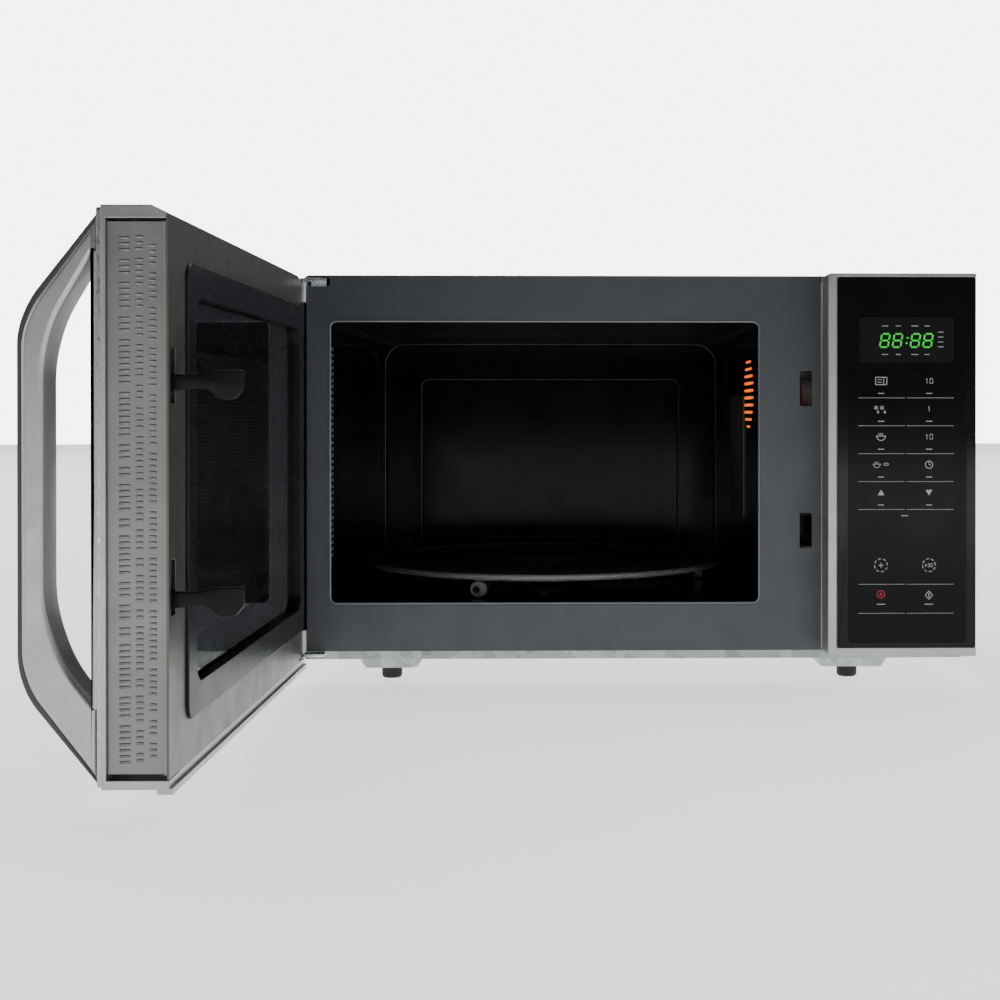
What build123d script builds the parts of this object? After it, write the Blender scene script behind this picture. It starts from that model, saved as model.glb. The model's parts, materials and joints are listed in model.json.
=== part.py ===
from build123d import *
import math
import os

# A countertop microwave oven with its side-hinged door standing open at a right angle.
# Millimetres. X runs across the front, Y runs from the front plate (y = 0) to the back, Z is up.
# The origin lies on the resting plane, under the middle of the front plate.

# ---- cabinet ----
HALF_WIDTH = 242.0
TOP = 298.0
DEPTH = 357.0
SHEET = 0.7
PLATE_HALF = 239.0
PLATE_BOTTOM = 24.0
PLATE_THICK = 1.2

# ---- oven cavity ----
CAVITY_LEFT = -222.4
CAVITY_RIGHT = 91.8
CAVITY_FLOOR = 58.3
CAVITY_ROOF = 265.0
CAVITY_DEPTH = 318.0
CAVITY_CORNER = 5.0
BACK_CORNER = 19.0
EMBOSS = 6.0
WELL_LEFT = -186.5
WELL_RIGHT = 53.0
WELL_BOTTOM = 73.5
WELL_TOP = 228.5

# ---- base and feet ----
PAN_Z = 17.5
PAD_Z = 9.5
FOOT_RADIUS = 7.5
FOOT_LEFT = -180.5
FOOT_RIGHT = 161.0
FOOT_FRONT = 30.0
FOOT_BACK = 318.0

# ---- control panel ----
HOUSING_LEFT = 136.2
HOUSING_FRONT = -38.0
HOUSING_BOTTOM = 24.7
HOUSING_TOP = 296.8
FASCIA_LEFT = 142.8
FASCIA_BOTTOM = 31.2
FASCIA_TOP = 294.0
WINDOW_LEFT = 158.0
WINDOW_RIGHT = 225.0
WINDOW_BOTTOM = 233.5
WINDOW_TOP = 264.5
PANEL_POSTS = [(226, 50), (226, 275), (146, 275)]

# ---- door, drawn closed and then swung open about its hinge axis ----
HINGE_X = -241.2
HINGE_Y = -4.3
DOOR_LEFT = -244.4
DOOR_RIGHT = 134.9
DOOR_BACK = -3.8
DOOR_FRONT = -36.6
GLASS_FRONT = -39.0
DOOR_BOTTOM = 14.5
DOOR_TOP = 299.2
CHOKE_LEFT = -234.6
CHOKE_RIGHT = 101.6
CHOKE_BOTTOM = 41.0
CHOKE_TOP = 274.6
CHOKE_PROUD = 1.6
CHOKE_BORDER = 17.0
GLASS_LEFT = -216.0
GLASS_RIGHT = 84.0
GLASS_BOTTOM = 54.0
GLASS_TOP = 262.0
VIEW_LEFT = -190.0
VIEW_RIGHT = 57.0
VIEW_BOTTOM = 74.0
VIEW_TOP = 233.0
SCREEN_Y = -14.8
PIN_RADIUS = 1.7
PIN_HOLE = 1.75
EYE_RADIUS = 3.2
HINGE_ARMS = [(293.0, 295.4), (20.6, 23.0)]
HINGE_BASES = [(274.0, 296.2), (20.6, 38.0)]
KNUCKLES = [(24.0, 40.0), (278.0, 292.6)]
HANDLE_RIGHT = 133.6
HANDLE_WIDTH = 22.0
HANDLE_REACH = 39.0
HANDLE_BAR = 13.0
HANDLE_SCREW_X = HANDLE_RIGHT - HANDLE_WIDTH / 2

# ---- latch ----
SLOT_LEFT = 121.4
SLOT_RIGHT = 130.2
SLOTS = [(202.7, 228.4), (98.6, 124.3)]
HOOK_X = 125.4
HOOK_THICK = 4.4
HOOK_PITCH = 106.8
HOOK_TOP = 212.5
HOOK_DROP = 8.2
SWITCH_HEIGHTS = [HOOK_TOP - HOOK_PITCH - HOOK_DROP - 7.0, HOOK_TOP - HOOK_DROP - 7.0, 147.0]

# ---- turntable ----
TABLE_X = -68.0
TABLE_Y = 159.0
TRAY_RADIUS = 147.5
ROLLER_CIRCLE = 129.0
ROLLER_PHASE = 8.0
ROLLER_RADIUS = 6.0
ROLLER_WIDTH = 6.0
TRACK_Z = CAVITY_FLOOR + 2 * ROLLER_RADIUS + 0.3
TRAY_RIM_Z = 78.0
AXLE_Z = CAVITY_FLOOR + ROLLER_RADIUS + 0.15
SHAFT_RADIUS = 3.5

# ---- electrical compartment ----
BAY_LEFT = CAVITY_RIGHT + SHEET
FAN_X = 172.0
FAN_Z = 165.0
FAN_RADIUS = 52.0
FAN_Y = 318.0
BLADES = 6
FEED_Y = 157.5
FEED_Z = 205.0
LAMP_X = BAY_LEFT + 24
LAMP_Y = 75.0
LAMP_Z = 213.0
INLET_X = 205.0
INLET_Z = 60.0

os.makedirs("parts", exist_ok=True)


def block(x0, x1, y0, y1, z0, z1):
    """A box between two corners."""
    return Pos((x0 + x1) / 2, (y0 + y1) / 2, (z0 + z1) / 2) * Box(x1 - x0, y1 - y0, z1 - z0)


def slab_y(x0, x1, z0, z1, radius, y0, y1):
    """A round-cornered plate that faces along Y."""
    face = RectangleRounded(x1 - x0, z1 - z0, radius)
    return Pos((x0 + x1) / 2, y0, (z0 + z1) / 2) * Rot(-90, 0, 0) * extrude(face, y1 - y0)


def slab_z(x0, x1, y0, y1, radius, z0, z1):
    """A round-cornered plate that faces along Z."""
    face = RectangleRounded(x1 - x0, y1 - y0, radius)
    return Pos((x0 + x1) / 2, (y0 + y1) / 2, z0) * extrude(face, z1 - z0)


def rod_x(radius, x0, x1, y, z):
    """A round bar along X."""
    return Pos((x0 + x1) / 2, y, z) * Rot(0, 90, 0) * Cylinder(radius, x1 - x0)


def rod_y(radius, x, y0, y1, z):
    """A round bar along Y."""
    return Pos(x, (y0 + y1) / 2, z) * Rot(90, 0, 0) * Cylinder(radius, y1 - y0)


def rod_z(radius, x, y, z0, z1):
    """A round bar along Z."""
    return Pos(x, y, (z0 + z1) / 2) * Cylinder(radius, z1 - z0)


def profile_x(points, x0, x1):
    """A flat shape drawn in Y and Z, given as points, and made solid along X."""
    side = Plane(origin=(x0, 0, 0), x_dir=(0, 1, 0), z_dir=(1, 0, 0))
    return side * extrude(make_face(Polyline(*points, close=True)), x1 - x0)


def revolve_z(points, x, y):
    """A turned shape from radius and height points."""
    face = make_face(Polyline(*points, close=True))
    return Pos(x, y, 0) * revolve(Rot(90, 0, 0) * face, Axis.Z)


def screw(x, y, z, length, head=3.4, shank=1.6, turn=Rot(0, 0, 0)):
    """A pan-head screw whose shank points along its own -Z from the seat of the head."""
    body = Pos(0, 0, 1.0) * Cylinder(head, 2.0)
    body = fillet(body.edges().sort_by(Axis.Z)[-1], 0.8)
    body = body + Pos(0, 0, -length / 2) * Cylinder(shank, length)
    slot = Pos(0, 0, 1.6) * Box(0.8, head * 1.2, 1.0)
    body = body - slot - Rot(0, 0, 90) * slot
    return Pos(x, y, z) * turn * body


FROM_BACK = Rot(-90, 0, 0)


def save(name, *solids):
    """Write one named piece, or one group of like pieces."""
    parts = []
    for solid in solids:
        parts.extend(solid.solids())
    export_step(Compound(parts), "parts/" + name + ".step")


def open_door(*solids):
    """Swing door pieces from closed to a right angle open."""
    swing = Pos(HINGE_X, HINGE_Y, 0) * Rot(0, 0, -90) * Pos(-HINGE_X, -HINGE_Y, 0)
    return [swing * solid for solid in solids]


def sum_of(solids):
    """Join a list of solids."""
    total = solids[0]
    for solid in solids[1:]:
        total = total + solid
    return total


def slots(count, pitch, make):
    """Join a row of equal cutters, made by a function of their distance along the row."""
    cut = make(0)
    for index in range(1, count):
        cut = cut + make(index * pitch)
    return cut


REAR_SCREWS = [(x, 292.0) for x in (-225, -75, 75, 225)] + [(-237.0, 60.0), (237.0, 60.0)]
HANDLE_SCREWS = [36.0, 281.0]


def rear_screw_holes():
    """Clearance holes for the screws along the rear edge."""
    return sum_of([rod_y(1.65, x, DEPTH - 8, DEPTH + 4, z) for x, z in REAR_SCREWS])


# ======================= casing =======================
def outer_cabinet():
    """Sheet wrap over the top and both sides, with a turned-in rear edge."""
    front = PLATE_THICK + 0.2
    bottom = 20.0
    shell = block(-HALF_WIDTH, HALF_WIDTH, front, DEPTH, bottom, TOP)
    shell = fillet(shell.edges().filter_by(Axis.Y).group_by(Axis.Z)[-1], 5.0)
    inner = block(-HALF_WIDTH + SHEET, HALF_WIDTH - SHEET, front - 1, DEPTH - SHEET, bottom - 1, TOP - SHEET)
    inner = fillet(inner.edges().filter_by(Axis.Y).group_by(Axis.Z)[-1], 4.0)
    rear = block(-HALF_WIDTH + 10, HALF_WIDTH - 10, DEPTH - 5, DEPTH + 5, bottom - 1, TOP - 10)
    shell = shell - inner - rear
    right = slots(12, 9.0, lambda d: block(230, 250, 40 + d, 44 + d, 205, 250))
    right = right + slots(12, 9.0, lambda d: block(230, 250, 40 + d, 44 + d, 145, 190))
    left = slots(9, 9.0, lambda d: block(-250, -230, 255 + d, 259 + d, 215, 262))
    shell = shell - right - left
    return shell - rear_screw_holes()


def front_plate():
    """Painted steel face plate around the cavity, with the two latch slots and the upper hinge slot."""
    plate = slab_y(-PLATE_HALF, PLATE_HALF + 1, PLATE_BOTTOM, TOP, 2.0, 0, PLATE_THICK)
    mouth = slab_y(CAVITY_LEFT, CAVITY_RIGHT, CAVITY_FLOOR - SHEET, CAVITY_ROOF, CAVITY_CORNER, -1, 3)
    plate = plate - mouth
    for low, high in SLOTS:
        plate = plate - slab_y(SLOT_LEFT, SLOT_RIGHT, low, high, 1.0, -1, 3)
    cable = block(150, 200, -1, 3, 60, 110)
    posts = sum_of([rod_y(2.0, x, -1, 3, z) for x, z in PANEL_POSTS])
    hinge = slab_y(-238, -222, 289.8, 296.6, 2.5, -1, 3)
    return plate - cable - posts - hinge


def holes_x(radius, x0, x1, columns, rows, pitch, y, z):
    """A field of round holes through a side wall, starting at its lower front corner."""
    return sum_of([
        rod_x(radius, x0, x1, y + column * pitch, z + row * pitch)
        for column in range(columns)
        for row in range(rows)
    ])


def cavity_liner():
    """Five-sided oven box with a stepped back wall, lamp and vent perforations and a shaft hole."""
    left, right = CAVITY_LEFT - SHEET, CAVITY_RIGHT + SHEET
    low, high = CAVITY_FLOOR - SHEET, CAVITY_ROOF + SHEET
    front = PLATE_THICK
    step = CAVITY_DEPTH - 8.0
    back_left, back_right = CAVITY_LEFT + 3, CAVITY_RIGHT - 5
    back_low, back_high = CAVITY_FLOOR + 4, CAVITY_ROOF - 4
    box = slab_y(left, right, low, high, CAVITY_CORNER, front, CAVITY_DEPTH + SHEET)
    room = slab_y(CAVITY_LEFT, CAVITY_RIGHT, CAVITY_FLOOR, CAVITY_ROOF, CAVITY_CORNER, front - 1, step)
    back = slab_y(back_left, back_right, back_low, back_high, BACK_CORNER, front, CAVITY_DEPTH)
    end = CAVITY_DEPTH + EMBOSS
    tub = slab_y(WELL_LEFT - 1, WELL_RIGHT + 1, WELL_BOTTOM - 1, WELL_TOP + 1, 8.0, step, end + SHEET)
    well = slab_y(WELL_LEFT, WELL_RIGHT, WELL_BOTTOM, WELL_TOP, 7.0, step, end)
    box = box + tub - room - back - well
    relief = slab_y(left - 1, right + 1, low - 1, high + 1, 5.0, step + 2, CAVITY_DEPTH + 2)
    keep = slab_y(back_left - 1, back_right + 1, back_low - 1, back_high + 1, BACK_CORNER + 1, step, end)
    box = box - (relief - keep)
    shaft = rod_z(6.0, TABLE_X, TABLE_Y, low - 2, CAVITY_FLOOR + 2)
    dish = Pos(TABLE_X, TABLE_Y, CAVITY_FLOOR) * Cylinder(24.0, 0.6)
    vent = holes_x(1.3, left - 2, left + 4, 3, 34, 4.6, 7, 93)
    lamp = holes_x(1.7, right - 4, right + 2, 13, 10, 5.6, 33, 187)
    port = block(right - 4, right + 2, 112, 203, 124, 160)
    return box - shaft - dish - vent - lamp - port


def base_pan():
    """Galvanised floor pan with drawn foot pads, stiffening step, vents and upturned edges."""
    edge = HALF_WIDTH - SHEET - 0.4
    pan = block(-edge, edge, 3.0, DEPTH - 4, PAN_Z, PAN_Z + SHEET)
    for side in (-1, 1):
        lip = block(edge - SHEET, edge, 3.0, DEPTH - 4, PAN_Z, PAN_Z + 16)
        pan = pan + (lip if side > 0 else mirror(lip, Plane.YZ))
    pan = pan + block(-edge, edge, 3.0, 3.0 + SHEET, PAN_Z, PAN_Z + 6)
    drop = PAN_Z + SHEET - PAD_Z
    for y, y0, y1 in [(FOOT_FRONT, 8.0, 62.0), (FOOT_BACK, DEPTH - 62, DEPTH - 10)]:
        for x, x0, x1 in [(FOOT_LEFT, -204.0, -155.0), (FOOT_RIGHT, 134.0, 190.0)]:
            middle = Pos((x0 + x1) / 2, (y0 + y1) / 2, PAN_Z + SHEET)
            pad = middle * extrude(RectangleRounded(x1 - x0, y1 - y0, 9), -drop, taper=30)
            pan = pan + pad - Pos(0, 0, SHEET) * pad - rod_z(3.0, x, y, 0, 30)
    rib = slab_z(-120, 40, 90, 240, 14, PAN_Z - 3, PAN_Z + SHEET)
    pan = pan + rib - slab_z(-119, 39, 91, 239, 13, PAN_Z - 3 + SHEET, PAN_Z + 9)
    vents = slots(9, 8.0, lambda d: slab_z(196, 232, 120 + d, 124 + d, 1.9, PAN_Z - 2, PAN_Z + 3))
    return pan - vents


def rear_panel():
    """Flat back sheet with the fan intake, exhaust slots and the mains inlet hole."""
    z0, z1 = PAN_Z + SHEET, TOP - SHEET - 0.3
    sheet = block(-HALF_WIDTH + 1.3, HALF_WIDTH - 1.3, DEPTH - 3.4, DEPTH - 2.2, z0, z1)
    intake = []
    for ring in range(1, 6):
        count = ring * 7
        for index in range(count):
            angle = 2 * math.pi * index / count
            x, z = FAN_X + 9 * ring * math.cos(angle), FAN_Z + 9 * ring * math.sin(angle)
            intake.append(rod_y(2.6, x, 340, 360, z))
    exhaust = slots(14, 9.0, lambda d: block(-200 + d, -196 + d, 340, 360, 225, 275))
    inlet = rod_y(9.0, INLET_X, 340, 360, INLET_Z)
    sheet = fillet(sheet.edges().filter_by(Axis.Y).group_by(Axis.Z)[-1], 5.0)
    return sheet - sum_of(intake) - exhaust - inlet - rear_screw_holes()


def rubber_feet():
    """Four turned rubber feet pressed up against the foot pads."""
    top = PAD_Z + 3
    shape = [(0, 0), (6.3, 0), (FOOT_RADIUS, 1.6), (FOOT_RADIUS, PAD_Z), (2.8, PAD_Z), (2.8, top), (0, top)]
    feet = []
    for x in (FOOT_LEFT, FOOT_RIGHT):
        for y in (FOOT_FRONT, FOOT_BACK):
            feet.append(revolve_z(shape, x, y) - rod_z(1.25, x, y, 4.0, 20))
    return feet


def hinge_bracket(arm, base):
    """Pressed bracket seated behind the face plate; its arm reaches forward to one hinge pin."""
    behind = PLATE_THICK + 1.6
    low, high = arm
    plate = block(-236, -224.6, PLATE_THICK, behind, base[0], base[1])
    neck = block(-236, -225.5, HINGE_Y - EYE_RADIUS, behind, low, high)
    reach = block(HINGE_X, -230, HINGE_Y - EYE_RADIUS, HINGE_Y + EYE_RADIUS, low, high)
    eye = rod_z(EYE_RADIUS, HINGE_X, HINGE_Y, low, high)
    pin_low, pin_high = (low - 11.4, low) if low > PLATE_BOTTOM else (high, high + 13)
    return plate + neck + reach + eye + rod_z(PIN_RADIUS, HINGE_X, HINGE_Y, pin_low, pin_high)


# ======================= control panel =======================
def control_housing():
    """Silver moulded box that stands forward of the face plate beside the door."""
    front, right = HOUSING_FRONT, HALF_WIDTH - 0.3
    low, high = HOUSING_BOTTOM, HOUSING_TOP
    shell = slab_y(HOUSING_LEFT, right, low, high, 1.5, front, 0)
    hollow = slab_y(HOUSING_LEFT + 2, right - 2, low + 2, high - 2, 1.0, front + 3.6, 1)
    seat_low, seat_high = FASCIA_BOTTOM - 0.3, FASCIA_TOP + 0.3
    seat = slab_y(FASCIA_LEFT - 0.8, HALF_WIDTH + 1, seat_low, seat_high, 1.0, front - 1, front + 2.1)
    window = block(WINDOW_LEFT, WINDOW_RIGHT, front - 1, front + 9, WINDOW_BOTTOM, WINDOW_TOP)
    tail = block(152, 178, front - 1, front + 9, 36, 40)
    rim = block(HOUSING_LEFT - 0.5, HOUSING_LEFT + 1, -9, 0, low + 2, high - 4)
    shell = shell + rim - hollow - seat - window - tail
    for x, z in PANEL_POSTS:
        shell = shell + rod_y(4.0, x, front + 3, 0, z) - rod_y(1.5, x, front + 8, 1, z)
    return shell


def control_fascia():
    """Black front plate with the display cut-out."""
    front, gap = HOUSING_FRONT, 0.1
    plate = slab_y(FASCIA_LEFT, HALF_WIDTH - 0.6, FASCIA_BOTTOM, FASCIA_TOP, 1.2, front - 0.2, front + 1.9)
    left, right, low, high = WINDOW_LEFT + gap, WINDOW_RIGHT - gap, WINDOW_BOTTOM + gap, WINDOW_TOP - gap
    hole = block(left, right, front - 1, front + 3, low, high)
    slit = block(153, 177, front - 1, front + 3, 36.5, 39.5)
    return plate - hole - slit


def membrane_keypad():
    """One flexible switch sheet stuck to the fascia, with its tail passing through the slit."""
    y0 = HOUSING_FRONT - 0.6
    sheet = slab_y(150.5, 234.5, 34.5, 229.0, 2.0, y0, y0 + 0.4)
    tail = block(155, 175, y0 + 0.4, -31.6, 37.4, 38.0)
    return sheet + tail + block(155, 175, -32.2, -31.6, 37.4, 60)


def control_board():
    """Printed board on standoffs inside the housing."""
    board = block(141, 237, -31.6, -30.0, 42, 286)
    return board - sum_of([rod_y(4.4, x, -33, -28, z) for x, z in PANEL_POSTS])


def board_parts():
    """Relays, buzzer, transformer, capacitor and connectors on the control board."""
    back = -30.0
    parts = [block(150, 170, back, back + 16, 60, 88), block(176, 196, back, back + 16, 60, 88)]
    parts.append(block(202, 232, back, back + 22, 66, 96))
    parts.append(rod_y(7.0, 160, back, back + 10, 120))
    parts.append(rod_y(5.0, 185, back, back + 18, 118))
    parts.append(rod_y(5.0, 200, back, back + 18, 118))
    parts.append(block(150, 190, back, back + 7, 255, 263))
    parts.append(block(200, 230, back, back + 3, 160, 190))
    return parts


def led_display():
    """Four-digit display block that stands off the board into the window."""
    front = HOUSING_FRONT + 1.9
    frame = block(WINDOW_LEFT + 4, WINDOW_RIGHT - 4, front, -31.6, WINDOW_BOTTOM + 3, WINDOW_TOP - 3)
    return fillet(frame.edges().filter_by(Axis.Y), 0.8)


def display_window():
    """Smoked clear insert over the display."""
    y0 = HOUSING_FRONT - 0.2
    pane = block(WINDOW_LEFT + 0.1, WINDOW_RIGHT - 0.1, y0, y0 + 1.8, WINDOW_BOTTOM + 0.1, WINDOW_TOP - 0.1)
    return fillet(pane.edges().filter_by(Axis.Y), 0.6)


# ======================= power parts =======================
def waveguide():
    """Bent steel duct that leads from the magnetron to the cavity wall."""
    outer = block(BAY_LEFT, BAY_LEFT + 40, 108, 207, 120, 240)
    inner = block(BAY_LEFT - 1, BAY_LEFT + 39, 109, 206, 121, 239)
    flange = block(BAY_LEFT, BAY_LEFT + SHEET, 98, 217, 110, 250)
    hole = rod_x(11.0, BAY_LEFT + 30, BAY_LEFT + 45, FEED_Y, FEED_Z)
    return outer + flange - inner - hole


def waveguide_cover():
    """Mica sheet clipped over the feed port inside the cavity."""
    sheet = block(CAVITY_RIGHT - 0.9, CAVITY_RIGHT - 0.1, 106, 215, 112, 212)
    return fillet(sheet.edges().filter_by(Axis.X), 4.0)


def magnetron():
    """Yoke frame, cooling fins, magnets and filter box."""
    x0 = BAY_LEFT + 40
    yoke = block(x0, x0 + 58, 112, 203, 172, 238) - block(x0 + 2, x0 + 56, 114, 201, 165, 245)
    yoke = yoke + rod_x(21, x0 + 2, x0 + 56, FEED_Y, FEED_Z)
    for index in range(7):
        yoke = yoke + block(x0 + 14 + index * 4.6, x0 + 15 + index * 4.6, 114, 201, 174, 236)
    antenna = rod_x(8.0, x0 - 22, x0 + 1, FEED_Y, FEED_Z)
    filter_box = block(x0 + 58, x0 + 80, 130, 185, 180, 230)
    return yoke + antenna + filter_box


def transformer_core():
    """Laminated core welded to a mounting foot."""
    core = block(112, 204, 62, 128, PAN_Z + SHEET + 2, 98)
    for x0 in (128, 168):
        core = core - block(x0, x0 + 20, 60, 130, 38, 80)
    foot = block(104, 212, 56, 134, PAN_Z + SHEET, PAN_Z + SHEET + 2)
    return core + foot


def transformer_coils():
    """Primary and secondary windings stacked round the middle limb."""
    coils = []
    for z0, z1 in [(38.5, 56), (58, 79.5)]:
        outer = slab_z(129, 187, 46, 144, 9, z0, z1)
        coils.append(outer - block(147.8, 168.2, 61.8, 128.2, z0 - 1, z1 + 1))
    return coils


def hv_capacitor():
    """Oval can with two terminals."""
    can = slab_z(120, 172, 262, 294, 15.9, PAN_Z + SHEET + 0.2, 105)
    terminals = block(134, 136, 275, 281, 105, 114) + block(156, 158, 275, 281, 105, 114)
    return can + terminals


def capacitor_clamp():
    """Sheet strap that holds the capacitor can to the floor pan."""
    floor = PAN_Z + SHEET
    strap = slab_z(118.8, 173.2, 260.8, 295.2, 17, 50, 66) - slab_z(119.9, 172.1, 261.9, 294.1, 16, 49, 67)
    leg = block(173, 174.2, 270, 286, floor, 66)
    return strap + leg + block(173, 190, 270, 286, floor, floor + 1.2)


def hv_diode():
    """Moulded diode with a ring terminal on the clamp."""
    body = rod_x(3.2, 140, 156, 300, 90)
    return body + rod_x(0.6, 130, 166, 300, 90)


def fan_motor():
    """Shaded-pole motor on the inner side of the fan shroud."""
    y0, y1 = FAN_Y - 44, FAN_Y - 20
    stack = block(FAN_X - 30, FAN_X + 30, y0, y1, FAN_Z - 24, FAN_Z + 24)
    stack = stack - block(FAN_X - 12, FAN_X + 20, y0 - 1, y1 + 1, FAN_Z - 30, FAN_Z - 16)
    coil = slab_y(FAN_X - 13, FAN_X + 21, FAN_Z - 40, FAN_Z - 18, 4, y0 - 6, y1 + 2)
    arms = block(FAN_X - 60, FAN_X + 60, y1 - 1.5, y1, FAN_Z - 8, FAN_Z + 8)
    bore = rod_y(2.05, FAN_X, y0 - 10, y1 + 10, FAN_Z)
    return stack + coil + arms - bore


def fan_shroud():
    """Moulded duct ring round the fan, fixed to the rear panel."""
    ring = rod_y(60, FAN_X, FAN_Y - 20, DEPTH - 3.4, FAN_Z) - rod_y(56, FAN_X, FAN_Y - 21, DEPTH, FAN_Z)
    tab = block(FAN_X - 66, FAN_X + 66, DEPTH - 6.4, DEPTH - 3.4, FAN_Z - 66, FAN_Z + 66)
    return ring + tab - rod_y(56, FAN_X, FAN_Y - 21, DEPTH, FAN_Z)


def fan_blade():
    """Hub with pitched blades and its own shaft through the motor."""
    hub = rod_y(13, FAN_X, FAN_Y - 8, FAN_Y + 14, FAN_Z)
    shaft = rod_y(2.0, FAN_X, FAN_Y - 48, FAN_Y - 7, FAN_Z)
    fan = hub + shaft
    for index in range(BLADES):
        blade = Box(28, 1.6, 42)
        blade = fillet(blade.edges().filter_by(Axis.Y).group_by(Axis.Z)[-1], 9.0)
        blade = Pos(0, 0, 31) * Rot(0, 0, 35) * blade
        fan = fan + Pos(FAN_X, FAN_Y + 3, FAN_Z) * Rot(0, index * 360 / BLADES, 0) * blade
    return fan


def oven_lamp():
    """Small glass bulb behind the lamp perforations."""
    outline = [(0, -11), (4.5, -10), (8.4, -7.1), (10.6, -3), (11, 0), (10.6, 3), (8.4, 7.1)]
    outline = outline + [(7, 9), (7, 16), (0, 16)]
    return Pos(LAMP_X, LAMP_Y, LAMP_Z) * Rot(0, 90, 0) * revolve_z(outline, 0, 0)


def lamp_socket():
    """Lamp holder on a bent tab fixed to the cavity side."""
    holder = rod_x(10.0, LAMP_X + 16, LAMP_X + 32, LAMP_Y, LAMP_Z)
    tab = block(LAMP_X + 26, LAMP_X + 28, LAMP_Y - 9, LAMP_Y + 9, 176, LAMP_Z)
    foot = block(BAY_LEFT, LAMP_X + 28, LAMP_Y - 9, LAMP_Y + 9, 174, 176)
    return holder + tab + foot


def latch_board():
    """Moulded interlock frame behind the two latch slots, with a catch ledge at each."""
    board = block(112, 119.8, PLATE_THICK, 46, 82, 246)
    flange = block(112, 139, PLATE_THICK, 4.2, 82, 246)
    for low, high in SLOTS:
        flange = flange - block(SLOT_LEFT - 0.8, SLOT_RIGHT + 0.8, 0, 6, low - 0.8, high + 0.8)
        board = board + block(119.8, 134, 4.2, 14.5, low - 6, low + 0.2)
        board = board + block(119.8, 134, 4.2, 40, high + 2, high + 5)
    return board + flange


def micro_switches():
    """Three snap switches screwed to the interlock frame."""
    cases = []
    for z in SWITCH_HEIGHTS:
        case = block(121.4, 131.6, 18, 42, z - 8, z + 4)
        case = case - block(123.95, 127.65, 24.95, 33.05, z + 1.5, z + 5)
        for y in (22, 30, 38):
            case = case + block(125, 128, y - 0.4, y + 0.4, z - 14, z - 8)
        cases.append(case)
    return cases


def switch_buttons():
    """The three sprung buttons, each standing out of the top of its switch."""
    return [block(124.0, 127.6, 25.0, 33.0, z + 2.7, z + 6.6) for z in SWITCH_HEIGHTS]


def thermal_cutouts():
    """Two button thermostats, on the cavity roof and on the magnetron."""
    cutouts = []
    for x, y, z in [(40, 120, CAVITY_ROOF + SHEET), (BAY_LEFT + 109, 160, 230)]:
        disc = rod_z(8.0, x, y, z, z + 7) + slab_z(x - 6, x + 6, y - 15, y + 15, 5.9, z, z + 1)
        for side in (x - 4.5, x + 4.5):
            disc = disc + block(side - 0.5, side + 0.5, y - 3, y + 3, z + 7, z + 14)
        cutouts.append(disc)
    return cutouts


def filter_board():
    """Mains filter board with its choke, capacitor and fuse."""
    board = block(196, 236, 250, 330, 258, 259.6)
    choke = rod_z(10, 208, 272, 259.6, 276)
    fuse = rod_x(2.6, 204, 226, 300, 263)
    clips = block(204, 206, 297, 303, 259.6, 265) + block(224, 226, 297, 303, 259.6, 265)
    return board + choke + block(220, 232, 262, 284, 259.6, 274) + fuse + clips


def cord_inlet_bush():
    """Moulded bush that lines the mains inlet hole in the rear panel."""
    outer = rod_y(12, INLET_X, DEPTH - 2.2, DEPTH + 1.0, INLET_Z)
    outer = outer + rod_y(8.9, INLET_X, DEPTH - 7, DEPTH - 2.2, INLET_Z)
    outer = outer + rod_y(11, INLET_X, DEPTH - 7, DEPTH - 3.4, INLET_Z)
    return outer - rod_y(4.0, INLET_X, DEPTH - 9, DEPTH + 3, INLET_Z)


def air_duct():
    """Moulded chute that carries fan air over the magnetron."""
    x0 = BAY_LEFT + 42
    outer = block(x0, x0 + 54, 205, 272, 176, 236)
    return outer - block(x0 + 2, x0 + 52, 204, 273, 178, 234)


def wiring_harness():
    """Bundled leads from the filter board down to the transformer and along the bay."""
    x = 226
    corners = [(x, 290, 255), (x, 290, 150), (x, 120, 150), (x, 120, 60), (212, 100, 60)]
    route = FilletPolyline(*corners, radius=12)
    section = Plane(origin=route @ 0, z_dir=route % 0) * Circle(3.0)
    return sweep(section, route)


# ======================= turntable =======================
def turntable_motor():
    """Flat geared motor under the cavity floor."""
    can = rod_z(25, TABLE_X, TABLE_Y, 37, 55.5)
    ears = slab_z(TABLE_X - 35, TABLE_X + 35, TABLE_Y - 6, TABLE_Y + 6, 5.9, 53.5, 55.5)
    plug = block(TABLE_X - 8, TABLE_X + 8, TABLE_Y + 22, TABLE_Y + 34, 39, 52)
    return can + ears + plug - rod_z(SHAFT_RADIUS + 0.05, TABLE_X, TABLE_Y, 40, 60)


def drive_coupler():
    """Three-lobed moulding on the motor shaft that turns the tray."""
    coupler = rod_z(SHAFT_RADIUS, TABLE_X, TABLE_Y, 44, 60) + rod_z(5.0, TABLE_X, TABLE_Y, 58.8, 67.6)
    for index in range(3):
        lobe = Pos(12, 0, 0) * block(-12, 8, -3.0, 3.0, 62.6, 67.6)
        lobe = lobe + rod_z(3.0, 20, 0, 62.6, 67.6)
        coupler = coupler + Pos(TABLE_X, TABLE_Y, 0) * Rot(0, 0, 120 * index + 30) * lobe
    return coupler


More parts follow.
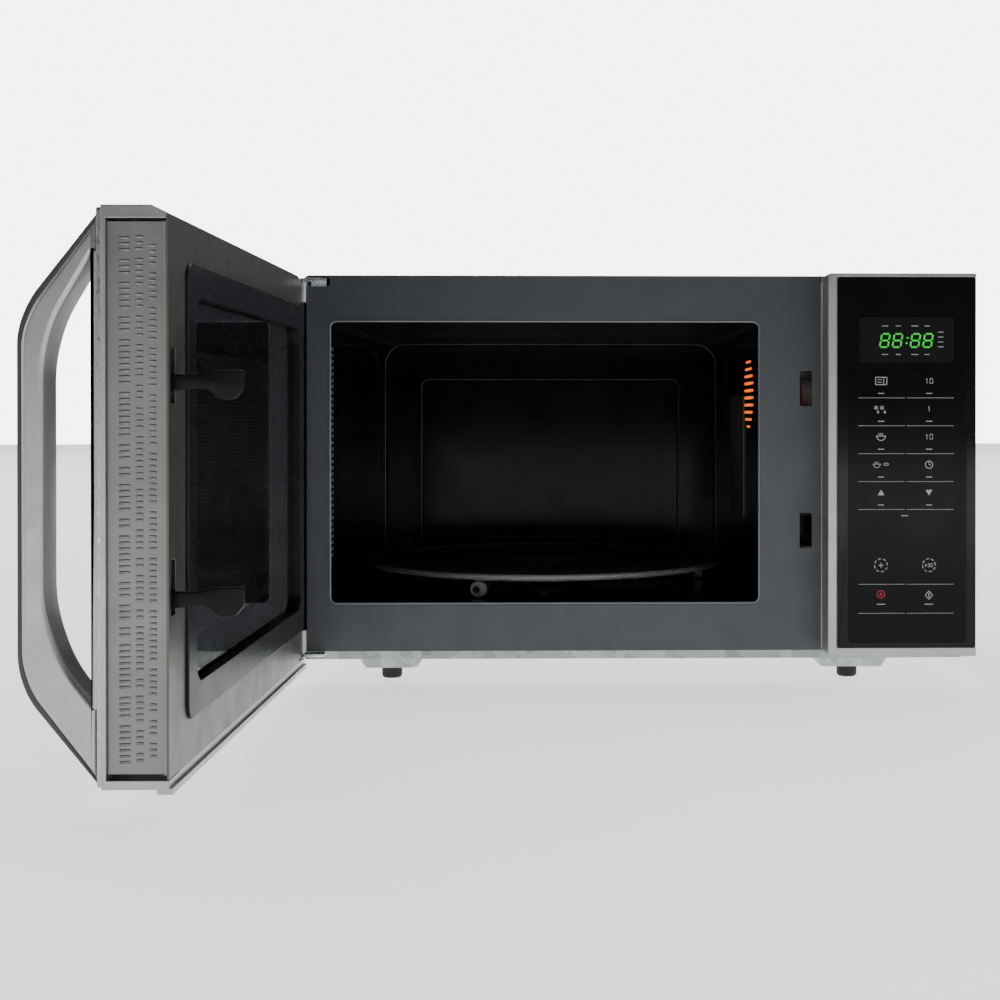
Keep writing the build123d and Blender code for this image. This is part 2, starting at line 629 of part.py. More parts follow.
def glass_tray():
    """Turned glass tray with a raised rim, a roller track and locating lugs underneath."""
    outline = [
        (0, 69.0), (86, 69.0), (89, TRACK_Z), (134, TRACK_Z), (139, TRACK_Z + 1.0), (145, TRACK_Z + 3.4),
        (TRAY_RADIUS, TRACK_Z + 4.6), (TRAY_RADIUS, TRAY_RIM_Z - 0.8), (TRAY_RADIUS - 1, TRAY_RIM_Z),
        (TRAY_RADIUS - 3.4, TRAY_RIM_Z), (TRAY_RADIUS - 5, TRAY_RIM_Z - 1.2), (136, TRACK_Z + 5.6),
        (112, TRACK_Z + 4.4), (90, TRACK_Z + 4.0), (84, 73.0), (0, 73.0),
    ]
    tray = revolve_z(outline, TABLE_X, TABLE_Y)
    for index in range(3):
        lug = rod_z(3.4, 15.5, 0, 64.0, 69.5)
        tray = tray + Pos(TABLE_X, TABLE_Y, 0) * Rot(0, 0, 120 * index + 90) * lug
    return tray


def roller_ring():
    """Three-armed roller support with a yoke and an axle at each end."""
    ring = revolve_z([(30, 60.2), (36, 60.2), (36, 64.8), (30, 64.8)], TABLE_X, TABLE_Y)
    inside, outside = ROLLER_CIRCLE - ROLLER_WIDTH / 2, ROLLER_CIRCLE + ROLLER_WIDTH / 2
    arm = block(33, inside - 4, -4, 4, 60.4, 64.6)
    yoke = block(inside - 6.5, inside - 1.4, -6, 6, 60.4, 68.2)
    axle = rod_x(1.5, inside - 2, outside + 1, 0, AXLE_Z)
    head = rod_x(2.6, outside + 0.4, outside + 1.6, 0, AXLE_Z)
    for index in range(3):
        turn = Pos(TABLE_X, TABLE_Y, 0) * Rot(0, 0, 120 * index + ROLLER_PHASE)
        ring = ring + turn * (arm + yoke + axle + head)
    return ring


def roller(index):
    """Small wheel that runs on the cavity floor under the tray."""
    half = ROLLER_WIDTH / 2
    wheel = rod_x(ROLLER_RADIUS, ROLLER_CIRCLE - half, ROLLER_CIRCLE + half, 0, AXLE_Z)
    wheel = fillet(wheel.edges().filter_by(GeomType.CIRCLE), 0.8)
    wheel = wheel - rod_x(1.56, ROLLER_CIRCLE - 9, ROLLER_CIRCLE + 9, 0, AXLE_Z)
    wheel = wheel - rod_x(3.6, ROLLER_CIRCLE + half - 1.2, ROLLER_CIRCLE + half + 1, 0, AXLE_Z)
    return Pos(TABLE_X, TABLE_Y, 0) * Rot(0, 0, 120 * index + ROLLER_PHASE) * wheel


# ======================= door, drawn closed =======================
def handle_screw_holes():
    """Holes through the door front into the handle legs."""
    return sum_of([rod_y(1.25, HANDLE_SCREW_X, GLASS_FRONT - 8, DOOR_FRONT + 8, z) for z in HANDLE_SCREWS])


def hinge_relief():
    """Corner cut-outs in the door for the two fixed brackets, and the pin holes."""
    top = block(DOOR_LEFT - 1, -223.5, HINGE_Y - 4.2, 5, 292.6, 310)
    bottom = block(DOOR_LEFT - 1, -223.5, HINGE_Y - 4.2, 5, 19.6, 24.0)
    holes = rod_z(PIN_HOLE, HINGE_X, HINGE_Y, 280.5, 293) + rod_z(PIN_HOLE, HINGE_X, HINGE_Y, 23.5, 37.5)
    return top + bottom + holes


def door_frame():
    """Silver moulded door body: a deep rectangular ring with an open channel at the free edge."""
    rim = DOOR_BACK - 1.0
    body = block(DOOR_LEFT, DOOR_RIGHT, DOOR_FRONT, rim, DOOR_BOTTOM, DOOR_TOP)
    crown = body.edges().filter_by(Axis.X).group_by(Axis.Z)[-1].sort_by(Axis.Y)[-1]
    body = chamfer(crown, 3.6, 7.0)
    body = body + block(DOOR_LEFT, DOOR_RIGHT, rim, DOOR_BACK + 1.8, DOOR_BOTTOM - 2.4, DOOR_BOTTOM + 0.8)
    body = body + block(DOOR_LEFT, DOOR_RIGHT, DOOR_BACK - 6.0, rim, DOOR_BOTTOM - 2.4, DOOR_BOTTOM)
    body = body + block(DOOR_LEFT, DOOR_RIGHT, rim, DOOR_BACK, DOOR_BOTTOM + 0.8, DOOR_BOTTOM + 4.8)
    for low, high in KNUCKLES:
        body = body + rod_z(EYE_RADIUS, HINGE_X, HINGE_Y, low, high)
    window = block(CHOKE_LEFT + 8, CHOKE_RIGHT - 6, DOOR_FRONT - 1, 0, CHOKE_BOTTOM + 8, CHOKE_TOP - 8)
    channel = block(DOOR_RIGHT - 19, DOOR_RIGHT + 1, DOOR_FRONT + 2.2, DOOR_BACK, DOOR_BOTTOM + 4.4, 292.8)
    return body - window - channel - hinge_relief() - handle_screw_holes()


def door_inner_panel():
    """Painted steel inner skin of the door, with the two latch slots."""
    sheet = block(DOOR_LEFT + 1, DOOR_RIGHT, DOOR_BACK - 1.0, DOOR_BACK, DOOR_BOTTOM + 4.8, 295.2)
    hole = slab_y(CHOKE_LEFT + 8, CHOKE_RIGHT - 6, CHOKE_BOTTOM + 8, CHOKE_TOP - 8, 8, -9, 0)
    for low, high in SLOTS:
        sheet = sheet - slab_y(SLOT_LEFT, SLOT_RIGHT + 0.6, low, high + 1.6, 1.0, -9, 0)
    for low, high in KNUCKLES:
        sheet = sheet - block(DOOR_LEFT - 1, HINGE_X + 4.2, -9, 0, low - 0.1, high + 0.1)
    return sheet - hole - hinge_relief()


def latch_cover():
    """Matte moulding that closes the free edge and houses the latch."""
    y0, y1 = DOOR_FRONT + 2.3, DOOR_BACK - 1.05
    low, high = DOOR_BOTTOM + 7.0, 291.4
    cover = block(DOOR_RIGHT - 18.9, DOOR_RIGHT - 2.6, y0, y1, low, high)
    lip = block(DOOR_RIGHT - 18.9, DOOR_RIGHT - 0.1, y1 - 1.4, y1, low, high)
    room = block(DOOR_RIGHT - 17, DOOR_RIGHT - 4.2, -26, 0, 86, 258.4)
    heads = sum_of([rod_y(3.0, HANDLE_SCREW_X, y0 - 1, y0 + 2.4, z) for z in HANDLE_SCREWS])
    return cover + lip - room - heads


def choke_field(inset, radius, y0, y1):
    """The plate shape shared by the parts that fill the door's inner opening."""
    left, right = CHOKE_LEFT + 8.2 + inset, CHOKE_RIGHT - 6.2 - inset
    return slab_y(left, right, CHOKE_BOTTOM + 8.2 + inset, CHOKE_TOP - 8.2 - inset, radius, y0, y1)


def choke_mouth(inset, radius, y0, y1):
    """The opening inside the choke cover, drawn inward by an inset."""
    border = CHOKE_BORDER + inset
    left, right = CHOKE_LEFT + border - 3, CHOKE_RIGHT - border
    return slab_y(left, right, CHOKE_BOTTOM + border, CHOKE_TOP - border, radius, y0, y1)


def choke_cover():
    """Charcoal moulded cover over the microwave choke, a stepped frame round the window."""
    ring = slab_y(CHOKE_LEFT, CHOKE_RIGHT, CHOKE_BOTTOM, CHOKE_TOP, 9.0, DOOR_BACK, DOOR_BACK + CHOKE_PROUD)
    ring = fillet(ring.faces().sort_by(Axis.Y)[-1].edges(), 0.9)
    return ring + choke_field(0, 7.8, SCREEN_Y + 1.4, DOOR_BACK) - choke_mouth(0, 11.0, -20, 1)


def door_inner_film():
    """Clear inner sheet let into the choke cover."""
    return choke_mouth(0.2, 10.8, -7.6, -6.8)


def door_screen():
    """Drawn steel sheet with a turned rim; its view area is pressed 0.3 mm thinner."""
    sheet = choke_field(0, 7.8, SCREEN_Y, SCREEN_Y + 1.2)
    rim = choke_field(0, 7.8, SCREEN_Y - 14, SCREEN_Y) - choke_field(1.2, 6.6, SCREEN_Y - 15, SCREEN_Y + 1)
    view = slab_y(VIEW_LEFT, VIEW_RIGHT, VIEW_BOTTOM, VIEW_TOP, 4.0, SCREEN_Y + 0.9, SCREEN_Y + 2)
    return sheet + rim - view


def door_front_cover():
    """Brushed front panel round the window glass."""
    left, right, low, high = DOOR_LEFT + 0.6, DOOR_RIGHT - 0.8, DOOR_BOTTOM + 0.6, DOOR_TOP - 0.8
    panel = slab_y(left, right, low, high, 2.0, GLASS_FRONT, DOOR_FRONT)
    opening = slab_y(GLASS_LEFT, GLASS_RIGHT, GLASS_BOTTOM, GLASS_TOP, 6.0, GLASS_FRONT - 1, DOOR_FRONT + 1)
    return panel - opening - handle_screw_holes()


def door_outer_glass():
    """Dark front glass, set flush in the front panel."""
    left, right, low, high = GLASS_LEFT + 0.2, GLASS_RIGHT - 0.2, GLASS_BOTTOM + 0.2, GLASS_TOP - 0.2
    return slab_y(left, right, low, high, 5.8, GLASS_FRONT - 0.2, DOOR_FRONT)


def handle_profile(inset):
    """Side outline of the D handle, in Y and Z, drawn inward from the outside by an inset."""
    y0 = GLASS_FRONT
    reach = y0 - HANDLE_REACH + inset
    shape = [
        (y0, 295.5 - inset), (y0 - 33 + inset * 0.6, 253.5 - inset * 0.4), (reach, 239.0 - inset * 0.2),
        (reach, 77.0 + inset * 0.2), (y0 - 34 + inset * 0.6, 62.5 + inset * 0.4), (y0, 16.5 + inset),
    ]
    return shape


def door_handle():
    """D-shaped pull handle as tall as the door, with an open finger gap."""
    x0, x1 = HANDLE_RIGHT - HANDLE_WIDTH, HANDLE_RIGHT
    grip = profile_x(handle_profile(0), x0, x1)
    y0 = GLASS_FRONT
    inner = y0 - HANDLE_REACH + HANDLE_BAR
    gap = [
        (y0 + 1, 279.7), (y0 - 20.6, 243.5), (inner, 222.0),
        (inner, 102.0), (y0 - 16.3, 74.1), (y0 + 1, 52.1),
    ]
    cut = profile_x(gap, x0 - 1, x1 + 1)
    cut = fillet(cut.edges().filter_by(Axis.X).group_by(Axis.Y)[0], 30.0)
    grip = fillet(grip.edges().filter_by(Axis.X).group_by(Axis.Y)[0], 14.0)
    grip = grip - cut
    strip_seat = profile_x(handle_profile(0), x0 + 3.0, x1 - 3.0)
    strip_seat = fillet(strip_seat.edges().filter_by(Axis.X).group_by(Axis.Y)[0], 14.0)
    keep = profile_x(handle_profile(2.4), x0 + 2.0, x1 - 2.0)
    keep = fillet(keep.edges().filter_by(Axis.X).group_by(Axis.Y)[0], 12.0)
    return grip - (strip_seat - keep) - handle_screw_holes()


def handle_strip():
    """Dark strip let into the outside of the handle."""
    x0, x1 = HANDLE_RIGHT - HANDLE_WIDTH + 3.1, HANDLE_RIGHT - 3.1
    strip = profile_x(handle_profile(0), x0, x1)
    strip = fillet(strip.edges().filter_by(Axis.X).group_by(Axis.Y)[0], 14.0)
    core = profile_x(handle_profile(2.3), x0 - 1, x1 + 1)
    core = fillet(core.edges().filter_by(Axis.X).group_by(Axis.Y)[0], 12.0)
    behind = block(x0 - 1, x1 + 1, GLASS_FRONT - 0.6, 0, 0, 310)
    return strip - core - behind


def hook_outline(z):
    """Side view of one latch hook, with its reference height at the middle of the arm."""
    return [
        (-15, z - 5), (-4, z - 3.8), (9, z - 1.6), (13.5, z - 2.0), (16, z - 5.6), (20, z - HOOK_DROP),
        (25, z - 8.0), (29.5, z - 5.6), (31, z - 1.5), (31, z + 6.6), (18, z + 6.6), (10, z + 4.4),
        (-15, z + 4.6),
    ]


def door_latch():
    """One moulding with two hooks on an upright bar, free to lift inside the door edge."""
    x0, x1 = HOOK_X - HOOK_THICK / 2, HOOK_X + HOOK_THICK / 2
    bar = block(x0, x1, -20, -10, HOOK_TOP - HOOK_PITCH - 5, HOOK_TOP + 4.6)
    stem = rod_z(1.4, HOOK_X, -15, HOOK_TOP + 4, HOOK_TOP + 12)
    lower = profile_x(hook_outline(HOOK_TOP - HOOK_PITCH), x0, x1)
    return bar + stem + profile_x(hook_outline(HOOK_TOP), x0, x1) + lower


def latch_spring():
    """Coil spring that presses the latch down."""
    low = HOOK_TOP + 5.0
    turns, height = 9, 40.0
    path = Pos(HOOK_X, -15, low) * Helix(height / turns, height, 3.0)
    section = Plane(origin=path @ 0, z_dir=path % 0) * Circle(0.4)
    return sweep(section, path)


def door_screws():
    """Screws that hold the handle through the frame from inside the door."""
    return [screw(HANDLE_SCREW_X, DOOR_FRONT + 2.2, z, 12, 2.4, 1.2, FROM_BACK) for z in HANDLE_SCREWS]


# ======================= fasteners =======================
def body_screws():
    """Screws through the cabinet's rear edge."""
    return [screw(x, DEPTH, z, 6, turn=FROM_BACK) for x, z in REAR_SCREWS]


def foot_screws():
    """Screws up through the feet into the floor pan."""
    group = []
    for x in (FOOT_LEFT, FOOT_RIGHT):
        for y in (FOOT_FRONT, FOOT_BACK):
            group.append(screw(x, y, PAD_Z + 3.2, 8, 3.0, 1.2))
    return group


# ======================= write every piece =======================
save("outer_cabinet", outer_cabinet())
save("front_plate", front_plate())
save("cavity_liner", cavity_liner())
save("base_pan", base_pan())
save("rear_panel", rear_panel())
save("rubber_feet", *rubber_feet())
save("foot_screws", *foot_screws())
save("upper_hinge_bracket", hinge_bracket(HINGE_ARMS[0], HINGE_BASES[0]))
save("lower_hinge_bracket", hinge_bracket(HINGE_ARMS[1], HINGE_BASES[1]))
save("control_housing", control_housing())
save("control_fascia", control_fascia())
save("membrane_keypad", membrane_keypad())
save("control_board", control_board())
save("board_parts", *board_parts())
save("led_display", led_display())
save("display_window", display_window())
save("waveguide", waveguide())
save("waveguide_cover", waveguide_cover())
save("magnetron", magnetron())
save("transformer_core", transformer_core())
save("transformer_coils", *transformer_coils())
save("hv_capacitor", hv_capacitor())
save("capacitor_clamp", capacitor_clamp())
save("hv_diode", hv_diode())
save("fan_motor", fan_motor())
save("fan_shroud", fan_shroud())
save("fan_blade", fan_blade())
save("air_duct", air_duct())
save("oven_lamp", oven_lamp())
save("lamp_socket", lamp_socket())
save("latch_board", latch_board())
save("micro_switches", *micro_switches())
for index, button in enumerate(switch_buttons()):
    save("switch_button_" + str(index + 1), button)
save("thermal_cutouts", *thermal_cutouts())
save("filter_board", filter_board())
save("cord_inlet_bush", cord_inlet_bush())
save("wiring_harness", wiring_harness())
save("turntable_motor", turntable_motor())
save("drive_coupler", drive_coupler())
save("glass_tray", glass_tray())
save("roller_ring", roller_ring())
for index in range(3):
    save("roller_" + str(index + 1), roller(index))
save("door_frame", *open_door(door_frame()))
save("door_inner_panel", *open_door(door_inner_panel()))
save("latch_cover", *open_door(latch_cover()))
save("choke_cover", *open_door(choke_cover()))
save("door_inner_film", *open_door(door_inner_film()))
save("door_screen", *open_door(door_screen()))
save("door_front_cover", *open_door(door_front_cover()))
save("door_outer_glass", *open_door(door_outer_glass()))
save("door_handle", *open_door(door_handle()))
save("handle_strip", *open_door(handle_strip()))
save("door_latch", *open_door(door_latch()))
save("latch_spring", *open_door(latch_spring()))
save("door_screws", *open_door(*door_screws()))
save("body_screws", *body_screws())
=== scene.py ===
import json
import math
import random

import bmesh
import bpy
from bpy.props import FloatProperty, FloatVectorProperty, IntProperty, PointerProperty
from bpy.types import Operator, Panel, PropertyGroup
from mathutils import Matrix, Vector


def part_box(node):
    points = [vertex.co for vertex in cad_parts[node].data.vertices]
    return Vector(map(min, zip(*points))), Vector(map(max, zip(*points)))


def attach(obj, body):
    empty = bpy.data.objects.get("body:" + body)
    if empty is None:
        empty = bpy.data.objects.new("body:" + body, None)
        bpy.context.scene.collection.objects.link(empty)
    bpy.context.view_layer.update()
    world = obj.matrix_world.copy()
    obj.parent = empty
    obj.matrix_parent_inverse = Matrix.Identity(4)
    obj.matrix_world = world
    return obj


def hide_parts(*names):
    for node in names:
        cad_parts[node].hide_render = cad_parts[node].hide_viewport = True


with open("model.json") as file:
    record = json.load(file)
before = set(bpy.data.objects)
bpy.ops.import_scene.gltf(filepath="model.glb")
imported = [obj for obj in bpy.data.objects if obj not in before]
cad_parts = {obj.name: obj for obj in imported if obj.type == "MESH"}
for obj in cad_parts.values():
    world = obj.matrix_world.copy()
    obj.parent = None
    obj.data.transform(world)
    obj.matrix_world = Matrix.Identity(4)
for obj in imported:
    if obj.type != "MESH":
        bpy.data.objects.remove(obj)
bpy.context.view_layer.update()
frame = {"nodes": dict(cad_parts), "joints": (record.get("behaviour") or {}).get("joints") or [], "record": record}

bl_info = {
    "name": "Microwave Oven Dresser",
    "version": (1, 0, 0),
    "blender": (4, 5, 0),
    "location": "3D View > Sidebar > Oven",
    "description": "Builds the visible pieces and finishes of a microwave oven round its CAD frame",
    "category": "Object",
}

MM = 0.001
HINGE = next(j for j in frame["joints"] if j["name"] == "door_hinge")["pos_m"]


# ---------------------------------------------------------------- places
def swing(x, y, z):
    """Turns a place on the closed door into the same place on the door as it stands, a right angle open."""
    return Vector((HINGE[0] + (y - HINGE[1]), HINGE[1] - (x - HINGE[0]), z))


def door_box(node):
    """A door node's lowest and highest corner, as if the door were closed."""
    low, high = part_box(node)
    x0, x1 = HINGE[0] - (high.y - HINGE[1]), HINGE[0] - (low.y - HINGE[1])
    y0, y1 = HINGE[1] + (low.x - HINGE[0]), HINGE[1] + (high.x - HINGE[0])
    return Vector((x0, y0, low.z)), Vector((x1, y1, high.z))


def polar(radius, degrees, centre=(0.0, 0.0)):
    """A point at a distance and an angle from a centre, in a flat drawing."""
    angle = math.radians(degrees)
    return centre[0] + radius * math.cos(angle), centre[1] + radius * math.sin(angle)


# ---------------------------------------------------------------- meshes
def add_object(name, data, material, body):
    """Puts a finished mesh in the scene, gives it its finish and rides it on its body."""
    thing = bpy.data.objects.new(name, data)
    bpy.context.collection.objects.link(thing)
    data.materials.clear()
    data.materials.append(material)
    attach(thing, body)
    return thing


def mesh_from(name, verts, faces, smooth=False):
    data = bpy.data.meshes.new(name)
    data.from_pydata([tuple(v) for v in verts], [], faces)
    data.validate()
    bm = bmesh.new()
    bm.from_mesh(data)
    bmesh.ops.remove_doubles(bm, verts=bm.verts, dist=1e-6)
    bmesh.ops.recalc_face_normals(bm, faces=bm.faces)
    bm.to_mesh(data)
    bm.free()
    for polygon in data.polygons:
        polygon.use_smooth = smooth
    return data


def apply_modifiers(thing):
    """Freezes an object's modifiers into its mesh."""
    bpy.context.view_layer.update()
    graph = bpy.context.evaluated_depsgraph_get()
    data = bpy.data.meshes.new_from_object(thing.evaluated_get(graph))
    old = thing.data
    thing.modifiers.clear()
    thing.data = data
    bpy.data.meshes.remove(old)


def round_edges(thing, width, segments=3, angle=30):
    """Rounds every sharp edge with real faces and shades the result smoothly."""
    bevel = thing.modifiers.new("round", "BEVEL")
    bevel.width = width
    bevel.segments = segments
    bevel.limit_method = "ANGLE"
    bevel.angle_limit = math.radians(angle)
    for polygon in thing.data.polygons:
        polygon.use_smooth = True
    bevel.harden_normals = True
    even = thing.modifiers.new("even", "WEIGHTED_NORMAL")
    even.keep_sharp = True
    apply_modifiers(thing)


def shade_by_angle(data, degrees):
    """Smooth shading, kept sharp across edges steeper than the given angle."""
    bm = bmesh.new()
    bm.from_mesh(data)
    limit = math.radians(degrees)
    for face in bm.faces:
        face.smooth = True
    for edge in bm.edges:
        edge.smooth = len(edge.link_faces) == 2 and edge.calc_face_angle(0.0) < limit
    bm.to_mesh(data)
    bm.free()


def arc_corners(points, radii, steps=8):
    """A closed outline whose corners are rounded, each by its own radius."""
    outline = []
    count = len(points)
    for i, (point, radius) in enumerate(zip(points, radii)):
        here = Vector(point)
        back = (Vector(points[i - 1]) - here).normalized()
        ahead = (Vector(points[(i + 1) % count]) - here).normalized()
        turn = back.angle(ahead)
        if radius <= 0 or turn > math.pi - 0.01:
            outline.append(here)
            continue
        reach = radius / math.tan(turn / 2)
        centre = here + (back + ahead).normalized() * (radius / math.sin(turn / 2))
        start, end = here + back * reach - centre, here + ahead * reach - centre
        for k in range(steps + 1):
            outline.append(centre + start.slerp(end, k / steps).normalized() * radius)
    return outline


def round_rect(x0, x1, z0, z1, radius, steps=6):
    corners = [(x0, z0), (x1, z0), (x1, z1), (x0, z1)]
    return arc_corners(corners, [radius] * 4, steps)


def flat_solid(name, loops, half_width, bevel, steps=3):
    """A flat shape with holes, made solid with rounded edges. The first loop is the outside."""
    curve = bpy.data.curves.new(name, "CURVE")
    curve.dimensions = "2D"
    curve.fill_mode = "BOTH"
    curve.extrude = max(half_width - bevel, 0.0)
    curve.bevel_depth = bevel
    curve.bevel_resolution = steps
    curve.offset = -bevel
    for loop in loops:
        spline = curve.splines.new("POLY")
        spline.points.add(len(loop) - 1)
        for point, place in zip(spline.points, loop):
            point.co = (place[0], place[1], 0.0, 1.0)
        spline.use_cyclic_u = True
    holder = bpy.data.objects.new(name, curve)
    bpy.context.collection.objects.link(holder)
    bpy.context.view_layer.update()
    graph = bpy.context.evaluated_depsgraph_get()
    data = bpy.data.meshes.new_from_object(holder.evaluated_get(graph))
    bpy.data.objects.remove(holder)
    bpy.data.curves.remove(curve)
    shade_by_angle(data, 35)
    return data


def place_verts(data, mapping):
    """Moves each vertex of a mesh from its drawing place to its real place."""
    for vertex in data.vertices:
        vertex.co = mapping(*vertex.co)
    bm = bmesh.new()
    bm.from_mesh(data)
    bmesh.ops.recalc_face_normals(bm, faces=bm.faces)
    bm.to_mesh(data)
    bm.free()


def lathe(profile, centre, steps):
    """A turned shape from a closed radius and height profile."""
    verts, faces = [], []
    count = len(profile)
    for k in range(steps):
        angle = 2 * math.pi * k / steps
        for radius, height in profile:
            verts.append((centre[0] + radius * math.cos(angle), centre[1] + radius * math.sin(angle), height))
    for k in range(steps):
        for i in range(count):
            a, b = k * count + i, k * count + (i + 1) % count
            c, d = ((k + 1) % steps) * count + (i + 1) % count, ((k + 1) % steps) * count + i
            faces.append((a, b, c, d))
    return verts, faces


def tube_frame(outline, radius, sides=8):
    """A closed bead of round section that follows an outline in X and Z at y = 0."""
    verts, faces = [], []
    count = len(outline)
    for i, point in enumerate(outline):
        ahead = outline[(i + 1) % count] - outline[i - 1]
        side = Vector((ahead.y, -ahead.x)).normalized()
        for k in range(sides):
            angle = 2 * math.pi * k / sides
            offset = side * (radius * math.cos(angle))
            verts.append((point.x + offset.x, radius * math.sin(angle), point.y + offset.y))
    for i in range(count):
        for k in range(sides):
            a, b = i * sides + k, i * sides + (k + 1) % sides
            j = (i + 1) % count
            faces.append((a, b, j * sides + (k + 1) % sides, j * sides + k))
    return verts, faces


# ---------------------------------------------------------------- finishes
class Finish:
    """A procedural finish under construction: one shader and the texture nodes that feed it."""

    def __init__(self, name):
        self.material = bpy.data.materials.new(name)
        self.material.use_nodes = True
        self.nodes = self.material.node_tree.nodes
        self.links = self.material.node_tree.links
        self.shader = next(n for n in self.nodes if n.type == "BSDF_PRINCIPLED")
        self.coordinates = self.nodes.new("ShaderNodeTexCoord")

    def set(self, **values):
        for key, value in values.items():
            self.shader.inputs[key.replace("_", " ")].default_value = value

    def join(self, source, target):
        self.links.new(source, target)

    def stretch(self, scale):
        node = self.nodes.new("ShaderNodeMapping")
        node.inputs["Scale"].default_value = scale
        self.join(self.coordinates.outputs["Object"], node.inputs["Vector"])
        return node.outputs["Vector"]

    def noise(self, scale, detail=3.0, rough=0.55, stretch=(1, 1, 1)):
        node = self.nodes.new("ShaderNodeTexNoise")
        node.inputs["Scale"].default_value = scale
        node.inputs["Detail"].default_value = detail
        node.inputs["Roughness"].default_value = rough
        self.join(self.stretch(stretch), node.inputs["Vector"])
        return node.outputs["Fac"]

    def cells(self, scale, stretch=(1, 1, 1), feature="F1"):
        node = self.nodes.new("ShaderNodeTexVoronoi")
        node.feature = feature
        node.inputs["Scale"].default_value = scale
        self.join(self.stretch(stretch), node.inputs["Vector"])
        return node

    def wave(self, scale, direction="Z", distortion=0.0):
        node = self.nodes.new("ShaderNodeTexWave")
        node.bands_direction = direction
        node.inputs["Scale"].default_value = scale
        node.inputs["Distortion"].default_value = distortion
        self.join(self.coordinates.outputs["Object"], node.inputs["Vector"])
        return node.outputs["Fac"]

    def colours(self, source, dark, light, low=0.3, high=0.7):
        ramp = self.nodes.new("ShaderNodeValToRGB")
        ramp.color_ramp.elements[0].position = low
        ramp.color_ramp.elements[0].color = (*dark, 1.0)
        ramp.color_ramp.elements[1].position = high
        ramp.color_ramp.elements[1].color = (*light, 1.0)
        self.join(source, ramp.inputs["Fac"])
        self.join(ramp.outputs["Color"], self.shader.inputs["Base Color"])
        return ramp

    def polish(self, source, low, high):
        node = self.nodes.new("ShaderNodeMapRange")
        node.inputs["From Min"].default_value = 0.3
        node.inputs["From Max"].default_value = 0.7
        node.inputs["To Min"].default_value = low
        node.inputs["To Max"].default_value = high
        self.join(source, node.inputs["Value"])
        self.join(node.outputs["Result"], self.shader.inputs["Roughness"])

    def relief(self, source, strength, distance, edge=0.0):
        bump = self.nodes.new("ShaderNodeBump")
        bump.inputs["Strength"].default_value = strength
        bump.inputs["Distance"].default_value = distance
        self.join(source, bump.inputs["Height"])
        if edge > 0:
            bevel = self.nodes.new("ShaderNodeBevel")
            bevel.samples = 4
            bevel.inputs["Radius"].default_value = edge
            self.join(bevel.outputs["Normal"], bump.inputs["Normal"])
        self.join(bump.outputs["Normal"], self.shader.inputs["Normal"])


def tint(colour, amount):
    return tuple(min(c * amount, 1.0) for c in colour[:3])


def painted(name, colour, rough, metal=0.0, grain=900.0, bump=0.12, spread=0.10, edge=0.0006, level=0.5):
    """Sprayed paint or textured moulding: faint mottling, uneven gloss and a fine skin."""
    finish = Finish(name)
    finish.colours(finish.noise(18.0, 4.0), tint(colour, 1 - spread), tint(colour, 1 + spread))
    finish.polish(finish.noise(45.0, 5.0), rough - 0.06, rough + 0.06)
    finish.relief(finish.noise(grain, 2.0), bump, 0.0002, edge)
    finish.set(Metallic=metal, Specular_IOR_Level=level)
    return finish.material


def flake_silver(name, colour, rough, metal):
    """Silver paint with fine metal flake."""
    finish = Finish(name)
    flakes = finish.cells(2600.0)
    finish.colours(flakes.outputs["Color"], tint(colour, 0.88), tint(colour, 1.08), 0.1, 0.9)
    finish.polish(finish.noise(60.0, 4.0), rough - 0.05, rough + 0.07)
    finish.relief(finish.noise(1500.0, 2.0), 0.08, 0.0002, 0.0007)
    finish.set(Metallic=metal, Coat_Weight=0.15, Coat_Roughness=0.2)
    return finish.material


def brushed(name, colour, rough, stretch, metal=1.0):
    """Brushed sheet: long fine scratches along one direction."""
    finish = Finish(name)
    lines = finish.noise(420.0, 6.0, 0.7, stretch)
    finish.colours(lines, tint(colour, 0.82), tint(colour, 1.12), 0.25, 0.75)
    finish.polish(finish.noise(300.0, 4.0, 0.6, stretch), rough - 0.08, rough + 0.10)
    finish.relief(lines, 0.10, 0.0002, 0.0005)
    finish.set(Metallic=metal)
    return finish.material


def galvanised(name, colour):
    """Zinc-coated sheet: crystals of slightly different brightness with a dull bloom."""
    finish = Finish(name)
    crystal = finish.cells(130.0)
    finish.colours(crystal.outputs["Color"], tint(colour, 0.72), tint(colour, 1.15), 0.05, 0.95)
    finish.polish(finish.noise(25.0, 5.0), 0.34, 0.52)
    finish.relief(finish.noise(240.0, 4.0), 0.10, 0.0003, 0.0006)
    finish.set(Metallic=0.85)
    return finish.material


def glossy(name, colour, rough=0.09, level=0.5):
    """Polished moulding or printed glass with faint handling marks."""
    finish = Finish(name)
    finish.colours(finish.noise(9.0, 3.0), tint(colour, 0.85), tint(colour, 1.15))
    finish.polish(finish.noise(30.0, 6.0, 0.65), rough - 0.03, rough + 0.05)
    finish.relief(finish.noise(60.0, 2.0), 0.02, 0.0003, 0.0005)
    finish.set(Specular_IOR_Level=level)
    return finish.material


def clear(name, colour, rough, transmission, ior=1.5, alpha=1.0):
    """Transparent glass or plastic with slight waviness."""
    finish = Finish(name)
    finish.colours(finish.noise(12.0, 2.0), tint(colour, 0.94), tint(colour, 1.04))
    finish.polish(finish.noise(40.0, 4.0), max(rough - 0.02, 0.0), rough + 0.03)
    finish.relief(finish.noise(25.0, 1.0), 0.006, 0.0003)
    finish.set(Transmission_Weight=transmission, IOR=ior, Alpha=alpha)
    return finish.material


